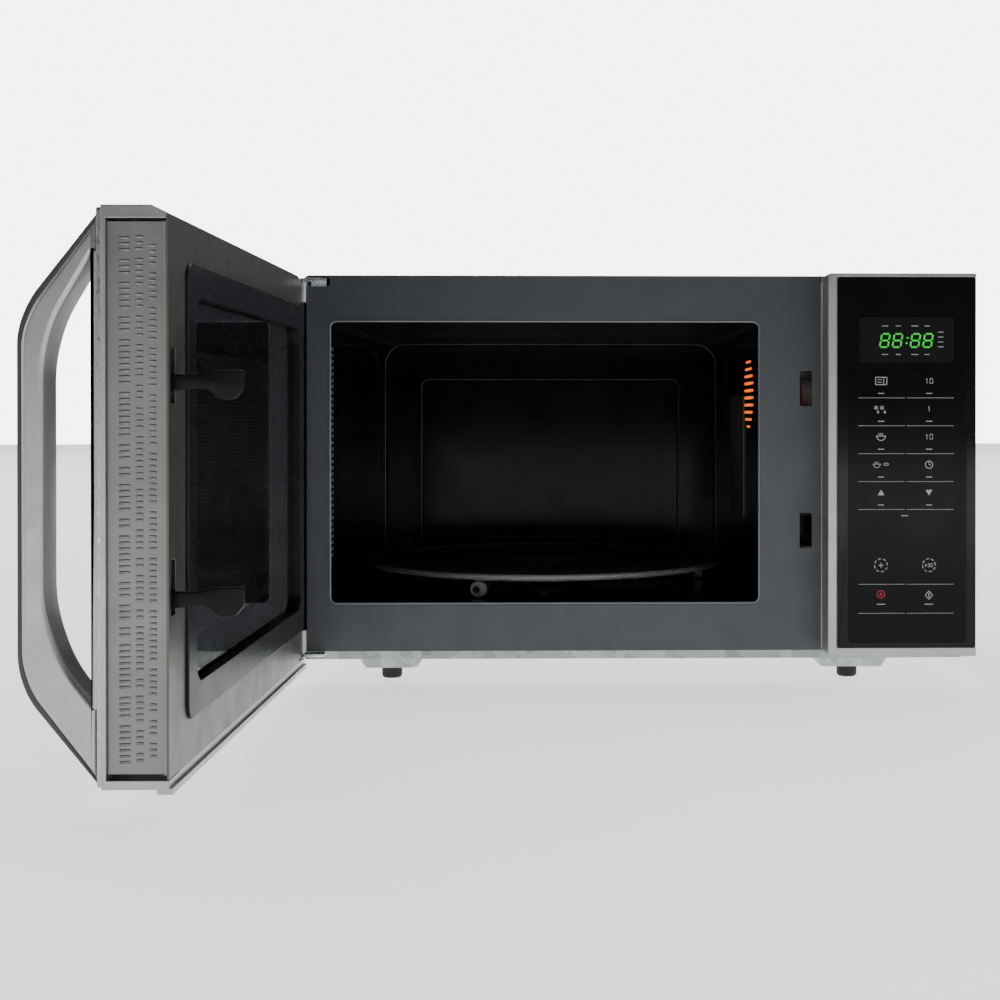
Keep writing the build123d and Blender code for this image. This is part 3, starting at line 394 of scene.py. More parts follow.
def glowing(name, colour, strength):
    """A lit surface, brighter in its middle cells."""
    finish = Finish(name)
    ramp = finish.colours(finish.noise(300.0, 2.0), tint(colour, 0.8), tint(colour, 1.0))
    finish.join(ramp.outputs["Color"], finish.shader.inputs["Emission Color"])
    finish.polish(finish.noise(90.0), 0.3, 0.5)
    finish.set(Emission_Strength=strength)
    return finish.material


def wound(name, colour):
    """Varnished wire laid in close turns."""
    finish = Finish(name)
    turns = finish.wave(190.0, "Z", 0.3)
    finish.colours(turns, tint(colour, 0.45), tint(colour, 1.15), 0.1, 0.8)
    finish.polish(finish.noise(80.0), 0.25, 0.4)
    finish.relief(turns, 0.6, 0.0006)
    finish.set(Metallic=0.7)
    return finish.material


def laminated(name, colour):
    """A stack of thin varnished steel sheets."""
    finish = Finish(name)
    sheets = finish.wave(260.0, "X", 0.1)
    finish.colours(sheets, tint(colour, 0.6), tint(colour, 1.2), 0.2, 0.8)
    finish.polish(finish.noise(50.0), 0.4, 0.6)
    finish.relief(sheets, 0.4, 0.0004)
    finish.set(Metallic=0.5)
    return finish.material


def circuit(name, colour):
    """Printed board laminate with tracks under green resist."""
    finish = Finish(name)
    tracks = finish.cells(160.0, (1, 1, 3), "DISTANCE_TO_EDGE")
    finish.colours(tracks.outputs["Distance"], tint(colour, 1.5), colour, 0.02, 0.10)
    finish.polish(finish.noise(70.0), 0.25, 0.4)
    finish.relief(finish.noise(400.0), 0.1, 0.0002)
    return finish.material


FINISHES = {}


def finish_recipes():
    """How each finish is made: its maker, then the maker's colour and other settings."""
    look = bpy.context.scene.oven_look
    return {
        "face_enamel": (painted, look.face_colour, 0.36, 0.25, 1100, 0.10, 0.05),
        "cabinet_paint": (painted, look.cabinet_colour, 0.42, 0.2, 1400, 0.22),
        # Cavity enamel: dark enamel, its colour lowered to near black as painted shade inside the oven.
        "cavity_enamel": (glossy, look.cavity_colour_with_painted_shade, 0.12, 0.07),
        # Press-line beads: the cavity colour made nine times lighter, a painted highlight along the rounded edges
        # of the back wall.
        "cavity_edge": (painted, tint(look.cavity_colour_with_painted_shade, 9.0), 0.18, 0.0, 900, 0.05, 0.1),
        # Rim enamel: the face enamel made 2.8 times lighter and glossier, a painted highlight on the rolled mouth
        # edge and the vent hole rims.
        "rim_enamel": (painted, tint(look.face_colour, 2.8), 0.2, 0.3, 1100, 0.06, 0.05),
        "silver_moulding": (flake_silver, look.silver_colour, 0.34, 0.85),
        "handle_silver": (flake_silver, look.silver_colour, 0.36, 0.85),
        "edge_moulding": (painted, tint(look.silver_colour, 0.56), 0.40, 0.7, 1800, 0.2, 0.05),
        "front_steel": (brushed, look.silver_colour, 0.30, (1, 0.02, 1)),
        "inner_skin_paint": (painted, look.inner_skin_colour, 0.34, 0.65, 1500, 0.15, 0.05),
        "galvanised": (galvanised, (0.42, 0.46, 0.43)),
        "zinc": (brushed, (0.66, 0.72, 0.75), 0.25, (1, 1, 0.2)),
        "rubber": (painted, (0.012, 0.012, 0.012), 0.75, 0.0, 700, 0.35),
        "black_gloss": (glossy, (0.0035, 0.0035, 0.004), 0.10, 0.18),
        "keypad_film": (glossy, (0.0035, 0.0035, 0.004), 0.14, 0.1),
        "window_smoke": (glossy, (0.010, 0.010, 0.011), 0.08, 0.2),
        "print_grey": (painted, (0.42, 0.42, 0.42), 0.5, 0.0, 2000, 0.05, 0.05, 0.0),
        "print_red": (painted, (0.50, 0.02, 0.02), 0.5, 0.0, 2000, 0.05, 0.05, 0.0),
        "display_green": (glowing, (0.005, 0.75, 0.03), look.display_glow),
        "lamp_glow": (glowing, (1.0, 0.15, 0.01), look.lamp_glow),
        # Tray glass: a quarter of it is a pale diffuse colour rather than transmitted light, a painted sheen that
        # stands in for the glass's reflections.
        "tray_glass": (clear, (0.80, 0.84, 0.84), 0.08, 0.75),
        "clear_film": (clear, (0.75, 0.76, 0.78), 0.03, 1.0, 1.15),
        "bulb_glass": (clear, (1.0, 0.9, 0.75), 0.05, 0.9),
        "clear_moulding": (clear, (0.86, 0.87, 0.85), 0.22, 0.55),
        "door_glass": (glossy, (0.006, 0.006, 0.007), 0.06, 0.5),
        "choke_moulding": (glossy, look.choke_colour, 0.26, 0.12),
        "screen_coat": (painted, (0.022, 0.022, 0.024), 0.4, 0.4, 1500, 0.1),
        "strip_brown": (painted, (0.035, 0.035, 0.033), 0.38, 0.0, 1500, 0.12, 0.08, 0.0),
        "latch_black": (painted, (0.004, 0.004, 0.004), 0.40, 0.0, 900, 0.10, 0.15, 0.0, 0.15),
        "black_moulding": (painted, (0.015, 0.015, 0.016), 0.45, 0.0, 900, 0.2),
        "white_moulding": (painted, (0.70, 0.70, 0.67), 0.45, 0.0, 900, 0.1, 0.04),
        "fan_moulding": (painted, (0.40, 0.40, 0.39), 0.5, 0.0, 900, 0.1, 0.04),
        "roller_dark": (painted, (0.03, 0.03, 0.03), 0.4, 0.0, 900, 0.1),
        "mica": (painted, (0.10, 0.09, 0.075), 0.40, 0.0, 300, 0.2, 0.25, 0.0),
        "can_aluminium": (brushed, (0.72, 0.73, 0.74), 0.32, (1, 1, 0.05)),
        "plain_sheet": (brushed, (0.55, 0.56, 0.56), 0.36, (0.1, 1, 1)),
        "spring_wire": (brushed, (0.6, 0.6, 0.62), 0.25, (1, 1, 1)),
        "screw_zinc": (brushed, (0.66, 0.67, 0.68), 0.28, (1, 1, 1)),
        "core_steel": (laminated, (0.09, 0.08, 0.075)),
        "copper_winding": (wound, (0.50, 0.17, 0.06)),
        "lead_red": (painted, (0.35, 0.02, 0.015), 0.4, 0.0, 900, 0.1),
        "board_green": (circuit, (0.02, 0.14, 0.04)),
    }


def finish_of(key):
    """One finish by name, made the first time that it is asked for."""
    if key not in FINISHES:
        maker, *settings = finish_recipes()[key]
        FINISHES[key] = maker(key, *settings)
    return FINISHES[key]


NODES_BY_FINISH = {
    "cabinet_paint": "outer_cabinet",
    "face_enamel": "front_plate",
    "cavity_enamel": "cavity_liner",
    "galvanised": "base_pan rear_panel",
    "rubber": "rubber_feet",
    "screw_zinc": "foot_screws body_screws door_screws",
    "zinc": "upper_hinge_bracket lower_hinge_bracket",
    "silver_moulding": "control_housing door_frame",
    "black_gloss": "control_fascia",
    "keypad_film": "membrane_keypad",
    "window_smoke": "display_window",
    "black_moulding": "led_display board_parts hv_diode cord_inlet_bush micro_switches",
    "board_green": "control_board filter_board",
    "can_aluminium": "magnetron hv_capacitor",
    "plain_sheet": "waveguide capacitor_clamp thermal_cutouts turntable_motor",
    "mica": "waveguide_cover",
    "core_steel": "transformer_core fan_motor",
    "copper_winding": "transformer_coils",
    "white_moulding": "fan_shroud air_duct lamp_socket latch_board",
    "fan_moulding": "fan_blade",
    "bulb_glass": "oven_lamp",
    "lead_red": "wiring_harness",
    "clear_moulding": (
        "switch_button_1 switch_button_2 switch_button_3 drive_coupler roller_1 roller_2 roller_3"
    ),
    "tray_glass": "glass_tray",
    "roller_dark": "roller_ring",
    "inner_skin_paint": "door_inner_panel",
    "edge_moulding": "latch_cover",
    "choke_moulding": "choke_cover",
    "clear_film": "door_inner_film",
    "screen_coat": "door_screen",
    "front_steel": "door_front_cover",
    "door_glass": "door_outer_glass",
    "handle_silver": "door_handle",
    "strip_brown": "handle_strip",
    "latch_black": "door_latch",
    "spring_wire": "latch_spring",
}
NODE_FINISH = {node: finish for finish, nodes in NODES_BY_FINISH.items() for node in nodes.split()}


# ---------------------------------------------------------------- settings
class OvenLook(PropertyGroup):
    """Sizes and colours that a user may change before the pieces are built."""

    face_colour: FloatVectorProperty(
        name="Face Plate", description="Enamel of the steel face plate", subtype="COLOR",
        size=3, min=0.0, max=1.0, default=(0.060, 0.066, 0.074))
    cabinet_colour: FloatVectorProperty(
        name="Cabinet", description="Powder coat of the outer cabinet", subtype="COLOR",
        size=3, min=0.0, max=1.0, default=(0.075, 0.078, 0.082))
    # Cavity colour: a dark enamel, set near black so that it also carries painted shade for the dim inside of the
    # oven.
    cavity_colour_with_painted_shade: FloatVectorProperty(
        name="Cavity", description="Enamel inside the oven", subtype="COLOR",
        size=3, min=0.0, max=1.0, default=(0.0035, 0.0035, 0.0038))
    silver_colour: FloatVectorProperty(
        name="Silver", description="Silver paint of the mouldings", subtype="COLOR",
        size=3, min=0.0, max=1.0, default=(0.40, 0.40, 0.39))
    inner_skin_colour: FloatVectorProperty(
        name="Inner Skin", description="Paint on the inside of the door", subtype="COLOR",
        size=3, min=0.0, max=1.0, default=(0.115, 0.105, 0.096))
    choke_colour: FloatVectorProperty(
        name="Choke Cover", description="Charcoal moulding round the window", subtype="COLOR",
        size=3, min=0.0, max=1.0, default=(0.012, 0.0125, 0.015))
    display_glow: FloatProperty(
        name="Display Glow", description="Brightness of the display segments", min=0.0, default=0.4)
    lamp_glow: FloatProperty(
        name="Lamp Glow", description="Brightness behind the lamp holes", min=0.0, default=1.6)
    screen_pitch: FloatProperty(
        name="Screen Pitch", description="Distance between the window screen's holes", subtype="DISTANCE",
        unit="LENGTH", min=0.001, default=0.0025)
    screen_hole: FloatProperty(
        name="Screen Hole", description="Radius of each hole in the window screen", subtype="DISTANCE",
        unit="LENGTH", min=0.0003, default=0.00078)
    tray_steps: IntProperty(
        name="Tray Steps", description="Divisions round the glass tray", min=32, default=192)
    handle_bevel: FloatProperty(
        name="Handle Rounding", description="Radius along the edges of the handle", subtype="DISTANCE",
        unit="LENGTH", min=0.0, default=0.0028)


class OvenOperator:
    """Shared options of every operator that builds a piece."""

    bl_options = {"REGISTER", "UNDO"}


# ---------------------------------------------------------------- pieces
class OVEN_OT_stage(OvenOperator, Operator):
    """Add the camera, the pale floor and the soft studio lights"""

    bl_idname = "oven.stage"
    bl_label = "Stage"

    def execute(self, context):
        self.camera(context)
        self.floor()
        self.world(context)
        self.lights()
        return {"FINISHED"}

    def camera(self, context):
        data = bpy.data.cameras.new("view")
        data.sensor_width = 36.0
        data.lens = 56.42
        data.shift_x = -0.1073
        data.shift_y = -0.0783
        eye = bpy.data.objects.new("view", data)
        context.collection.objects.link(eye)
        eye.location = (-0.0425, -1.1461, 0.1986)
        pitch, yaw = math.radians(0.366), math.radians(1.131)
        eye.rotation_euler = (math.pi / 2 - pitch, 0.0, -yaw)
        context.scene.camera = eye

    def floor(self):
        steps, radius = 96, 9.0
        rim = [(*polar(radius, 360 * k / steps), 0) for k in range(steps)]
        data = mesh_from("floor", rim, [tuple(range(steps))])
        floor = bpy.data.objects.new("floor", data)
        bpy.context.collection.objects.link(floor)
        finish = Finish("floor_white")
        ramp = finish.colours(finish.noise(3.0, 2.0), (0.86, 0.86, 0.86), (0.88, 0.88, 0.88))
        finish.join(ramp.outputs["Color"], finish.shader.inputs["Emission Color"])
        finish.polish(finish.noise(5.0), 0.6, 0.7)
        finish.set(Emission_Strength=1.35)
        data.materials.append(finish.material)

    def world(self, context):
        """White where the camera looks, and a dim sky that darkens upward for everything else."""
        world = bpy.data.worlds.new("studio")
        world.use_nodes = True
        nodes, links = world.node_tree.nodes, world.node_tree.links
        nodes.clear()
        out, path = nodes.new("ShaderNodeOutputWorld"), nodes.new("ShaderNodeLightPath")
        seen, lit = nodes.new("ShaderNodeBackground"), nodes.new("ShaderNodeBackground")
        mix, place = nodes.new("ShaderNodeMixShader"), nodes.new("ShaderNodeTexCoord")
        split, ramp = nodes.new("ShaderNodeSeparateXYZ"), nodes.new("ShaderNodeValToRGB")
        seen.inputs["Color"].default_value = (1.0, 1.0, 1.0, 1.0)
        seen.inputs["Strength"].default_value = 6.0
        lit.inputs["Strength"].default_value = 0.6
        ramp.color_ramp.elements[0].color = (0.32, 0.33, 0.34, 1.0)
        ramp.color_ramp.elements[0].position = 0.0
        ramp.color_ramp.elements[1].color = (0.045, 0.045, 0.05, 1.0)
        ramp.color_ramp.elements[1].position = 0.22
        links.new(place.outputs["Generated"], split.inputs[0])
        links.new(split.outputs["Z"], ramp.inputs["Fac"])
        links.new(ramp.outputs["Color"], lit.inputs["Color"])
        links.new(path.outputs["Is Camera Ray"], mix.inputs[0])
        links.new(lit.outputs[0], mix.inputs[1])
        links.new(seen.outputs[0], mix.inputs[2])
        links.new(mix.outputs[0], out.inputs["Surface"])
        context.scene.world = world

    def lights(self):
        soft_box("overhead", (0.0, 3.2, 3.4), (0.0, 3.0, 0.0), 9.0, 6.5, 330.0)
        soft_box("low_front", (0.1, -1.3, 0.03), (0.05, 0.0, 0.06), 1.8, 0.2, 2.0)
        soft_box("left_side", (-2.2, -0.7, 0.7), (-0.3, -0.2, 0.1), 1.4, 0.9, 9.0)
        soft_box("right_side", (2.2, -0.5, 0.6), (0.0, -0.1, 0.1), 1.4, 0.9, 8.0)


def soft_box(name, place, target, width, height, power):
    """A rectangular studio light aimed at a point."""
    data = bpy.data.lights.new(name, "AREA")
    data.shape = "RECTANGLE"
    data.size = width
    data.size_y = height
    data.energy = power
    lamp = bpy.data.objects.new(name, data)
    bpy.context.collection.objects.link(lamp)
    lamp.location = place
    lamp.rotation_euler = (Vector(target) - Vector(place)).to_track_quat("-Z", "Y").to_euler()
    lamp.visible_camera = False


class OVEN_OT_cad_finishes(OvenOperator, Operator):
    """Give every carried-over CAD node its procedural finish"""

    bl_idname = "oven.cad_finishes"
    bl_label = "CAD Finishes"

    def execute(self, context):
        for node, thing in frame["nodes"].items():
            if node not in NODE_FINISH:
                raise ValueError("no finish is named for " + node)
            thing.data.materials.clear()
            thing.data.materials.append(finish_of(NODE_FINISH[node]))
        return {"FINISHED"}


SOFT_EDGES = {
    "outer_cabinet": 0.35, "control_housing": 0.7, "control_fascia": 0.4, "door_frame": 0.7,
    "door_inner_panel": 0.3, "latch_cover": 0.6, "choke_cover": 0.5, "door_front_cover": 0.5,
    "door_outer_glass": 0.5, "rubber_feet": 0.5, "upper_hinge_bracket": 0.3, "lower_hinge_bracket": 0.3,
    "cord_inlet_bush": 0.4, "roller_ring": 0.3,
}


class OVEN_OT_soft_edges(OvenOperator, Operator):
    """Round the edges of the mouldings and folded sheets that people see and touch"""

    bl_idname = "oven.soft_edges"
    bl_label = "Soft Edges"

    def execute(self, context):
        record = frame["record"]
        bodies = {node: body for body, nodes in record["behaviour"]["bodies"].items() for node in nodes}
        for node, width in SOFT_EDGES.items():
            data = frame["nodes"][node].data.copy()
            bm = bmesh.new()
            bm.from_mesh(data)
            bmesh.ops.remove_doubles(bm, verts=bm.verts, dist=2e-6)
            bmesh.ops.dissolve_limit(bm, angle_limit=math.radians(0.6), verts=bm.verts, edges=bm.edges)
            bm.to_mesh(data)
            bm.free()
            name = "soft_" + node
            thing = add_object(name, data, finish_of(NODE_FINISH[node]), bodies[node])
            round_edges(thing, width * MM, 2, 32)
            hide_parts(node)
        return {"FINISHED"}


class OVEN_OT_mouth_bead(OvenOperator, Operator):
    """Roll the edge of the cavity mouth, in a lighter enamel that paints a highlight along it"""

    bl_idname = "oven.mouth_bead"
    bl_label = "Mouth Bead"

    def execute(self, context):
        low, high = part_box("cavity_liner")
        wall, corner, radius = 1.0 * MM, 5.0 * MM, 0.9 * MM
        outline = round_rect(low.x + wall, high.x - wall, low.z + wall, high.z - wall, corner, 8)
        verts, faces = tube_frame(outline, radius, 10)
        verts = [(x, y + 0.25 * MM, z) for x, y, z in verts]
        data = mesh_from("mouth_bead", verts, faces, True)
        add_object("mouth_bead", data, finish_of("rim_enamel"), "root")
        return {"FINISHED"}


class OVEN_OT_glass_tray(OvenOperator, Operator):
    """Turn the glass tray with its raised rim and roller track"""

    bl_idname = "oven.glass_tray"
    bl_label = "Glass Tray"

    def execute(self, context):
        look = context.scene.oven_look
        low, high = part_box("glass_tray")
        centre = ((low.x + high.x) / 2, (low.y + high.y) / 2)
        radius, top = (high.x - low.x) / 2, high.z
        track, base = top - 7.4 * MM, top - 9.0 * MM
        outline = [
            (0.004 * MM, base), (85 * MM, base), (88.5 * MM, track),
            (112 * MM, track), (137 * MM, track + 1.2 * MM),
            (radius - 1.5 * MM, track + 3.2 * MM), (radius, track + 5.2 * MM), (radius, top - 1.2 * MM),
            (radius - 1.4 * MM, top), (radius - 3.6 * MM, top), (radius - 5.6 * MM, top - 1.6 * MM),
            (136 * MM, track + 5.6 * MM), (112 * MM, track + 4.4 * MM), (90 * MM, track + 4.0 * MM),
            (84 * MM, top - 5.0 * MM), (0.004 * MM, top - 5.0 * MM),
        ]
        radii = [0, 4, 3, 8, 10, 4, 2, 1.3, 1.2, 1.4, 2.5, 10, 10, 4, 4, 0]
        profile = arc_corners(outline, [r * MM * 0.6 for r in radii], 4)
        verts, faces = lathe(profile, centre, look.tray_steps)
        data = mesh_from("turntable_tray", verts, faces, True)
        tray = add_object("turntable_tray", data, finish_of("tray_glass"), "turntable")
        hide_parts("glass_tray")
        return {"FINISHED"}


# Holes in the cavity's side walls: columns, rows, pitch, and the first hole's depth and height, in mm.
LAMP_HOLES = (13, 10, 5.6, 33, 187)
VENT_HOLES = (3, 34, 4.6, 7, 93)
# The recess pressed in the back wall: left, right, bottom and top, in mm.
WELL = (-186.5, 53, 73.5, 228.5)


def hole_places(field):
    """Where each hole of a field sits, in Y and Z."""
    columns, rows, pitch, depth, height = field
    return [
        ((depth + pitch * column) * MM, (height + pitch * row) * MM)
        for column in range(columns)
        for row in range(rows)
    ]


class OVEN_OT_lamp_glow(OvenOperator, Operator):
    """Fill each lamp hole with a small lens of warm light"""

    bl_idname = "oven.lamp_glow"
    bl_label = "Lamp Glow"

    def execute(self, context):
        low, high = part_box("oven_lamp")
        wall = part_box("waveguide_cover")[1].x + 0.1 * MM
        centre_y, centre_z = (low.y + high.y) / 2, (low.z + high.z) / 2
        lit_y, lit_z, widest = 34 * MM, 27 * MM, 1.6 * MM
        verts, faces = [], []
        for y, z in hole_places(LAMP_HOLES):
            reach = math.hypot((y - centre_y) / lit_y, (z - centre_z) / lit_z)
            if reach < 1.0:
                self.lens(verts, faces, wall, (y, z), widest * (1.0 - 0.35 * reach))
        data = mesh_from("lamp_lenses", verts, faces, True)
        add_object("lamp_lenses", data, finish_of("lamp_glow"), "root")
        return {"FINISHED"}

    def lens(self, verts, faces, wall, centre, radius):
        """A shallow dome in a hole, its crown a little proud of the wall."""
        start, sides = len(verts), 10
        for size, rise in ((1.0, 0.35), (0.95, 0.0), (0.55, -0.38)):
            for k in range(sides):
                verts.append((wall + rise * MM, *polar(radius * size, 360 * k / sides, centre)))
        for ring in (start, start + sides):
            for k in range(sides):
                n = (k + 1) % sides
                faces.append((ring + k, ring + n, ring + sides + n, ring + sides + k))
        faces.append(tuple(start + k for k in range(sides)))
        faces.append(tuple(start + 2 * sides + k for k in range(sides)))


class OVEN_OT_vent_rims(OvenOperator, Operator):
    """Roll the rim of every punched vent hole in the cavity's left wall, in a lighter enamel that paints a
    highlight round each hole
    """

    bl_idname = "oven.vent_rims"
    bl_label = "Vent Rims"

    def execute(self, context):
        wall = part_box("cavity_liner")[0].x + 0.75 * MM
        verts, faces = [], []
        for centre in hole_places(VENT_HOLES):
            self.rim(verts, faces, wall, centre)
        data = mesh_from("vent_rims", verts, faces, True)
        add_object("vent_rims", data, finish_of("rim_enamel"), "root")
        return {"FINISHED"}

    def rim(self, verts, faces, wall, centre):
        """A low rolled edge round one hole."""
        start, turns = len(verts), 12
        section = [(1.25, -0.05), (1.25, 0.12), (1.45, 0.2), (1.65, 0.12), (1.7, -0.05)]
        for k in range(turns):
            for radius, rise in section:
                verts.append((wall + rise * MM, *polar(radius * MM, 360 * k / turns, centre)))
        count = len(section)
        for k in range(turns):
            here, ahead = start + k * count, start + (k + 1) % turns * count
            for i in range(count):
                j = (i + 1) % count
                faces.append((here + i, here + j, ahead + j, ahead + i))


class OVEN_OT_press_lines(OvenOperator, Operator):
    """Round the drawn outline and the recess of the cavity's back wall, with beads lighter than the cavity as a
    painted highlight along them
    """

    bl_idname = "oven.press_lines"
    bl_label = "Press Lines"

    def execute(self, context):
        low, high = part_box("cavity_liner")
        wall, emboss, step = 0.7 * MM, 6.0 * MM, 8.0 * MM
        back = high.y - wall - emboss
        x0, x1 = low.x + wall + 3 * MM, high.x - wall - 5 * MM
        z0, z1 = low.z + wall + 4 * MM, high.z - wall - 4 * MM
        rounds = [
            (round_rect(x0, x1, z0, z1, 19 * MM, 10), back - step),
            (round_rect(*[edge * MM for edge in WELL], 7 * MM, 8), back),
        ]
        verts, faces = [], []
        for outline, y in rounds:
            ring, sides = tube_frame(outline, 0.85 * MM, 8)
            start = len(verts)
            verts.extend((x, y + d, z) for x, d, z in ring)
            faces.extend(tuple(start + i for i in face) for face in sides)
        data = mesh_from("press_lines", verts, faces, True)
        add_object("press_lines", data, finish_of("cavity_edge"), "root")
        return {"FINISHED"}


class OVEN_OT_window_screen(OvenOperator, Operator):
    """Punch the window screen's holes through its sheet"""

    bl_idname = "oven.window_screen"
    bl_label = "Window Screen"

    def execute(self, context):
        look = context.scene.oven_look
        low, high = door_box("door_screen")
        film_low, film_high = door_box("door_inner_film")
        front = low.y + 15.2 * MM
        side, below, above = 29.0 * MM, 16.0 * MM, 24.5 * MM
        x0, x1 = film_low.x + side, film_high.x - side
        z0, z1 = film_low.z + below, film_high.z - above
        self.sheet(look, x0, x1, z0, z1, front - 0.15 * MM)
        self.border(low, high, x0, x1, z0, z1, front)
        return {"FINISHED"}

    def sheet(self, look, x0, x1, z0, z1, y):
        """Rows of six-sided cells, each with a hole."""
        pitch, hole, thick = look.screen_pitch, look.screen_hole, 0.5 * MM
        row_step, reach = pitch * math.sqrt(3) / 2, pitch / math.sqrt(3)
        spokes = [polar(1.0, 30 + 60 * k) for k in range(6)]
        verts, faces = [], []
        rows, columns = int((z1 - z0) / row_step) + 2, int((x1 - x0) / pitch) + 2
        for j in range(rows):
            for i in range(columns):
                cx, cz = x0 + (i + 0.5 * (j % 2)) * pitch, z0 + j * row_step
                first = len(verts)
                for c, s in spokes:
                    verts.append(swing(cx + reach * c, y, cz + reach * s))
                for c, s in spokes:
                    verts.append(swing(cx + hole * c, y, cz + hole * s))
                for c, s in spokes:
                    verts.append(swing(cx + hole * c, y - thick, cz + hole * s))
                for k in range(6):
                    n = (k + 1) % 6
                    faces.append((first + k, first + n, first + 6 + n, first + 6 + k))
                    faces.append((first + 6 + k, first + 6 + n, first + 12 + n, first + 12 + k))
        data = mesh_from("screen_mesh", verts, faces)
        add_object("screen_mesh", data, finish_of("screen_coat"), "door")

    def border(self, low, high, x0, x1, z0, z1, front):
        """The plain margin round the holes."""
        inset = 1.2 * MM
        outer = round_rect(low.x, high.x, low.z, high.z, 7.8 * MM)
        inner = round_rect(x0 + inset, x1 - inset, z0 + inset, z1 - inset, 3.0 * MM)
        data = flat_solid("screen_border", [outer, inner], 0.5 * MM, 0.2 * MM)
        place_verts(data, lambda x, z, d: swing(x, front - 0.5 * MM + d, z))
        border = add_object("screen_border", data, finish_of("choke_moulding"), "door")
        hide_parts("door_screen")


class OVEN_OT_latch(OvenOperator, Operator):
    """Shape the two latch hooks and their bar"""

    bl_idname = "oven.latch"
    bl_label = "Door Latch"

    def execute(self, context):
        low, high = door_box("door_latch")
        middle, half = (low.x + high.x) / 2, (high.x - low.x) / 2
        tip, upper, pitch = high.y, high.z - 12.0 * MM, 106.8 * MM
        loops = [self.hook(tip, z) for z in (upper, upper - pitch)]
        bar_front, bar_back = -20 * MM, -10 * MM
        loops.append(round_rect(bar_front, bar_back, low.z, upper + 4 * MM, 1.5 * MM, 4))
        verts, faces = [], []
        for index, loop in enumerate(loops):
            data = flat_solid("latch_loop", [loop], half - 0.02 * MM * index, 0.8 * MM)
            start = len(verts)
            verts.extend(swing(middle + v.co.z, v.co.x, v.co.y) for v in data.vertices)
            faces.extend(tuple(start + i for i in p.vertices) for p in data.polygons)
            bpy.data.meshes.remove(data)
        data = mesh_from("latch_hooks", verts, faces)
        shade_by_angle(data, 35)
        hooks = add_object("latch_hooks", data, finish_of("latch_black"), "latch")
        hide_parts("door_latch")
        return {"FINISHED"}

    def hook(self, tip, z):
        """Side view of one hook, whose arm's middle is at height z."""
        head = tip - 31 * MM
        points = [
            (-15, -5), (-4, -3.9), (6, -2.6), (13.0, -2.4), (17.5, -7.0), (21.5, -8.2),
            (27.0, -7.6), (31, -2.5), (31, 6.6), (18, 6.6), (9, 4.3), (-15, 4.5),
        ]
        radii = [1, 8, 8, 5, 4, 4, 5, 4, 1.0, 3, 8, 1]
        places = [(head + a * MM, z + b * MM) for a, b in points]
        return arc_corners(places, [r * MM for r in radii], 5)


class OVEN_OT_handle(OvenOperator, Operator):
    """Shape the D handle with its rounded edges and the dark strip on its outside"""

    bl_idname = "oven.handle"
    bl_label = "Door Handle"

    def execute(self, context):
        look = context.scene.oven_look
        low, high = door_box("door_handle")
        middle, half = (low.x + high.x) / 2, (high.x - low.x) / 2
        root, reach = high.y, low.y
        top, bottom = high.z, low.z
        strip, slant = 1.7 * MM, 1.3
        grip = self.outline(root, reach + strip, top - strip * slant, bottom + strip * slant)
        gap = self.gap(root, reach, top, bottom)
        data = flat_solid("grip", [grip, gap], half, look.handle_bevel, 4)
        place_verts(data, lambda y, z, d: swing(middle + d, y, z))
        handle = add_object("grip", data, finish_of("handle_silver"), "door")
        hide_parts("door_handle")
        outer = self.outline(root, reach, top, bottom)
        inset, drop = strip + 0.6 * MM, strip * slant + 0.6 * MM
        inner = self.outline(root, reach + inset, top - drop, bottom + drop)
        ribbon = self.ribbon(outer, inner, middle, half - 1.2 * MM)
        band = add_object("grip_band", ribbon, finish_of("strip_brown"), "door")
        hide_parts("handle_strip")
        round_edges(band, 0.6 * MM, 2)
        return {"FINISHED"}

    def outline(self, root, reach, top, bottom):
        """Side view of the handle, from its root on the door to its full reach."""
        slope = 42.0 * MM
        points = [
            (root, bottom), (root, top), (reach + 6 * MM, top - slope), (reach, top - slope - 15 * MM),
            (reach, bottom + slope + 15 * MM), (reach + 5 * MM, bottom + slope),
        ]
        return arc_corners(points, [r * MM for r in (0, 0, 50, 40, 44, 42)], 10)

    def gap(self, root, reach, top, bottom):
        """Side view of the finger gap."""
        bar = 13.2 * MM
        points = [
            (root - 0.4 * MM, bottom + 37.5 * MM), (root - 0.4 * MM, top - 17.5 * MM),
            (root - 20.6 * MM, top - 52 * MM), (reach + bar, top - 73 * MM),
            (reach + bar, bottom + 85.5 * MM), (root - 16.3 * MM, bottom + 57.6 * MM),
        ]
        return arc_corners(points, [r * MM for r in (1, 1, 70, 80, 80, 70)], 12)

    def ribbon(self, outer, inner, middle, half):
        """A band between two outlines, open along the door's face."""
        verts, faces = [], []
        pairs = list(zip(outer, inner))[1:] + [(outer[0], inner[0])]
        for a, b in pairs:
            for place in (a, b):
                for side in (-half, half):
                    verts.append(swing(middle + side, place.x, place.y))
        for i in range(len(pairs) - 1):
            n, m = i * 4, i * 4 + 4
            for p, q in ((0, 1), (1, 3), (3, 2), (2, 0)):
                faces.append((n + p, n + q, m + q, m + p))
        faces.append((0, 1, 3, 2))
        last = (len(pairs) - 1) * 4
        faces.append((last, last + 2, last + 3, last + 1))
        return mesh_from("grip_band", verts, faces)


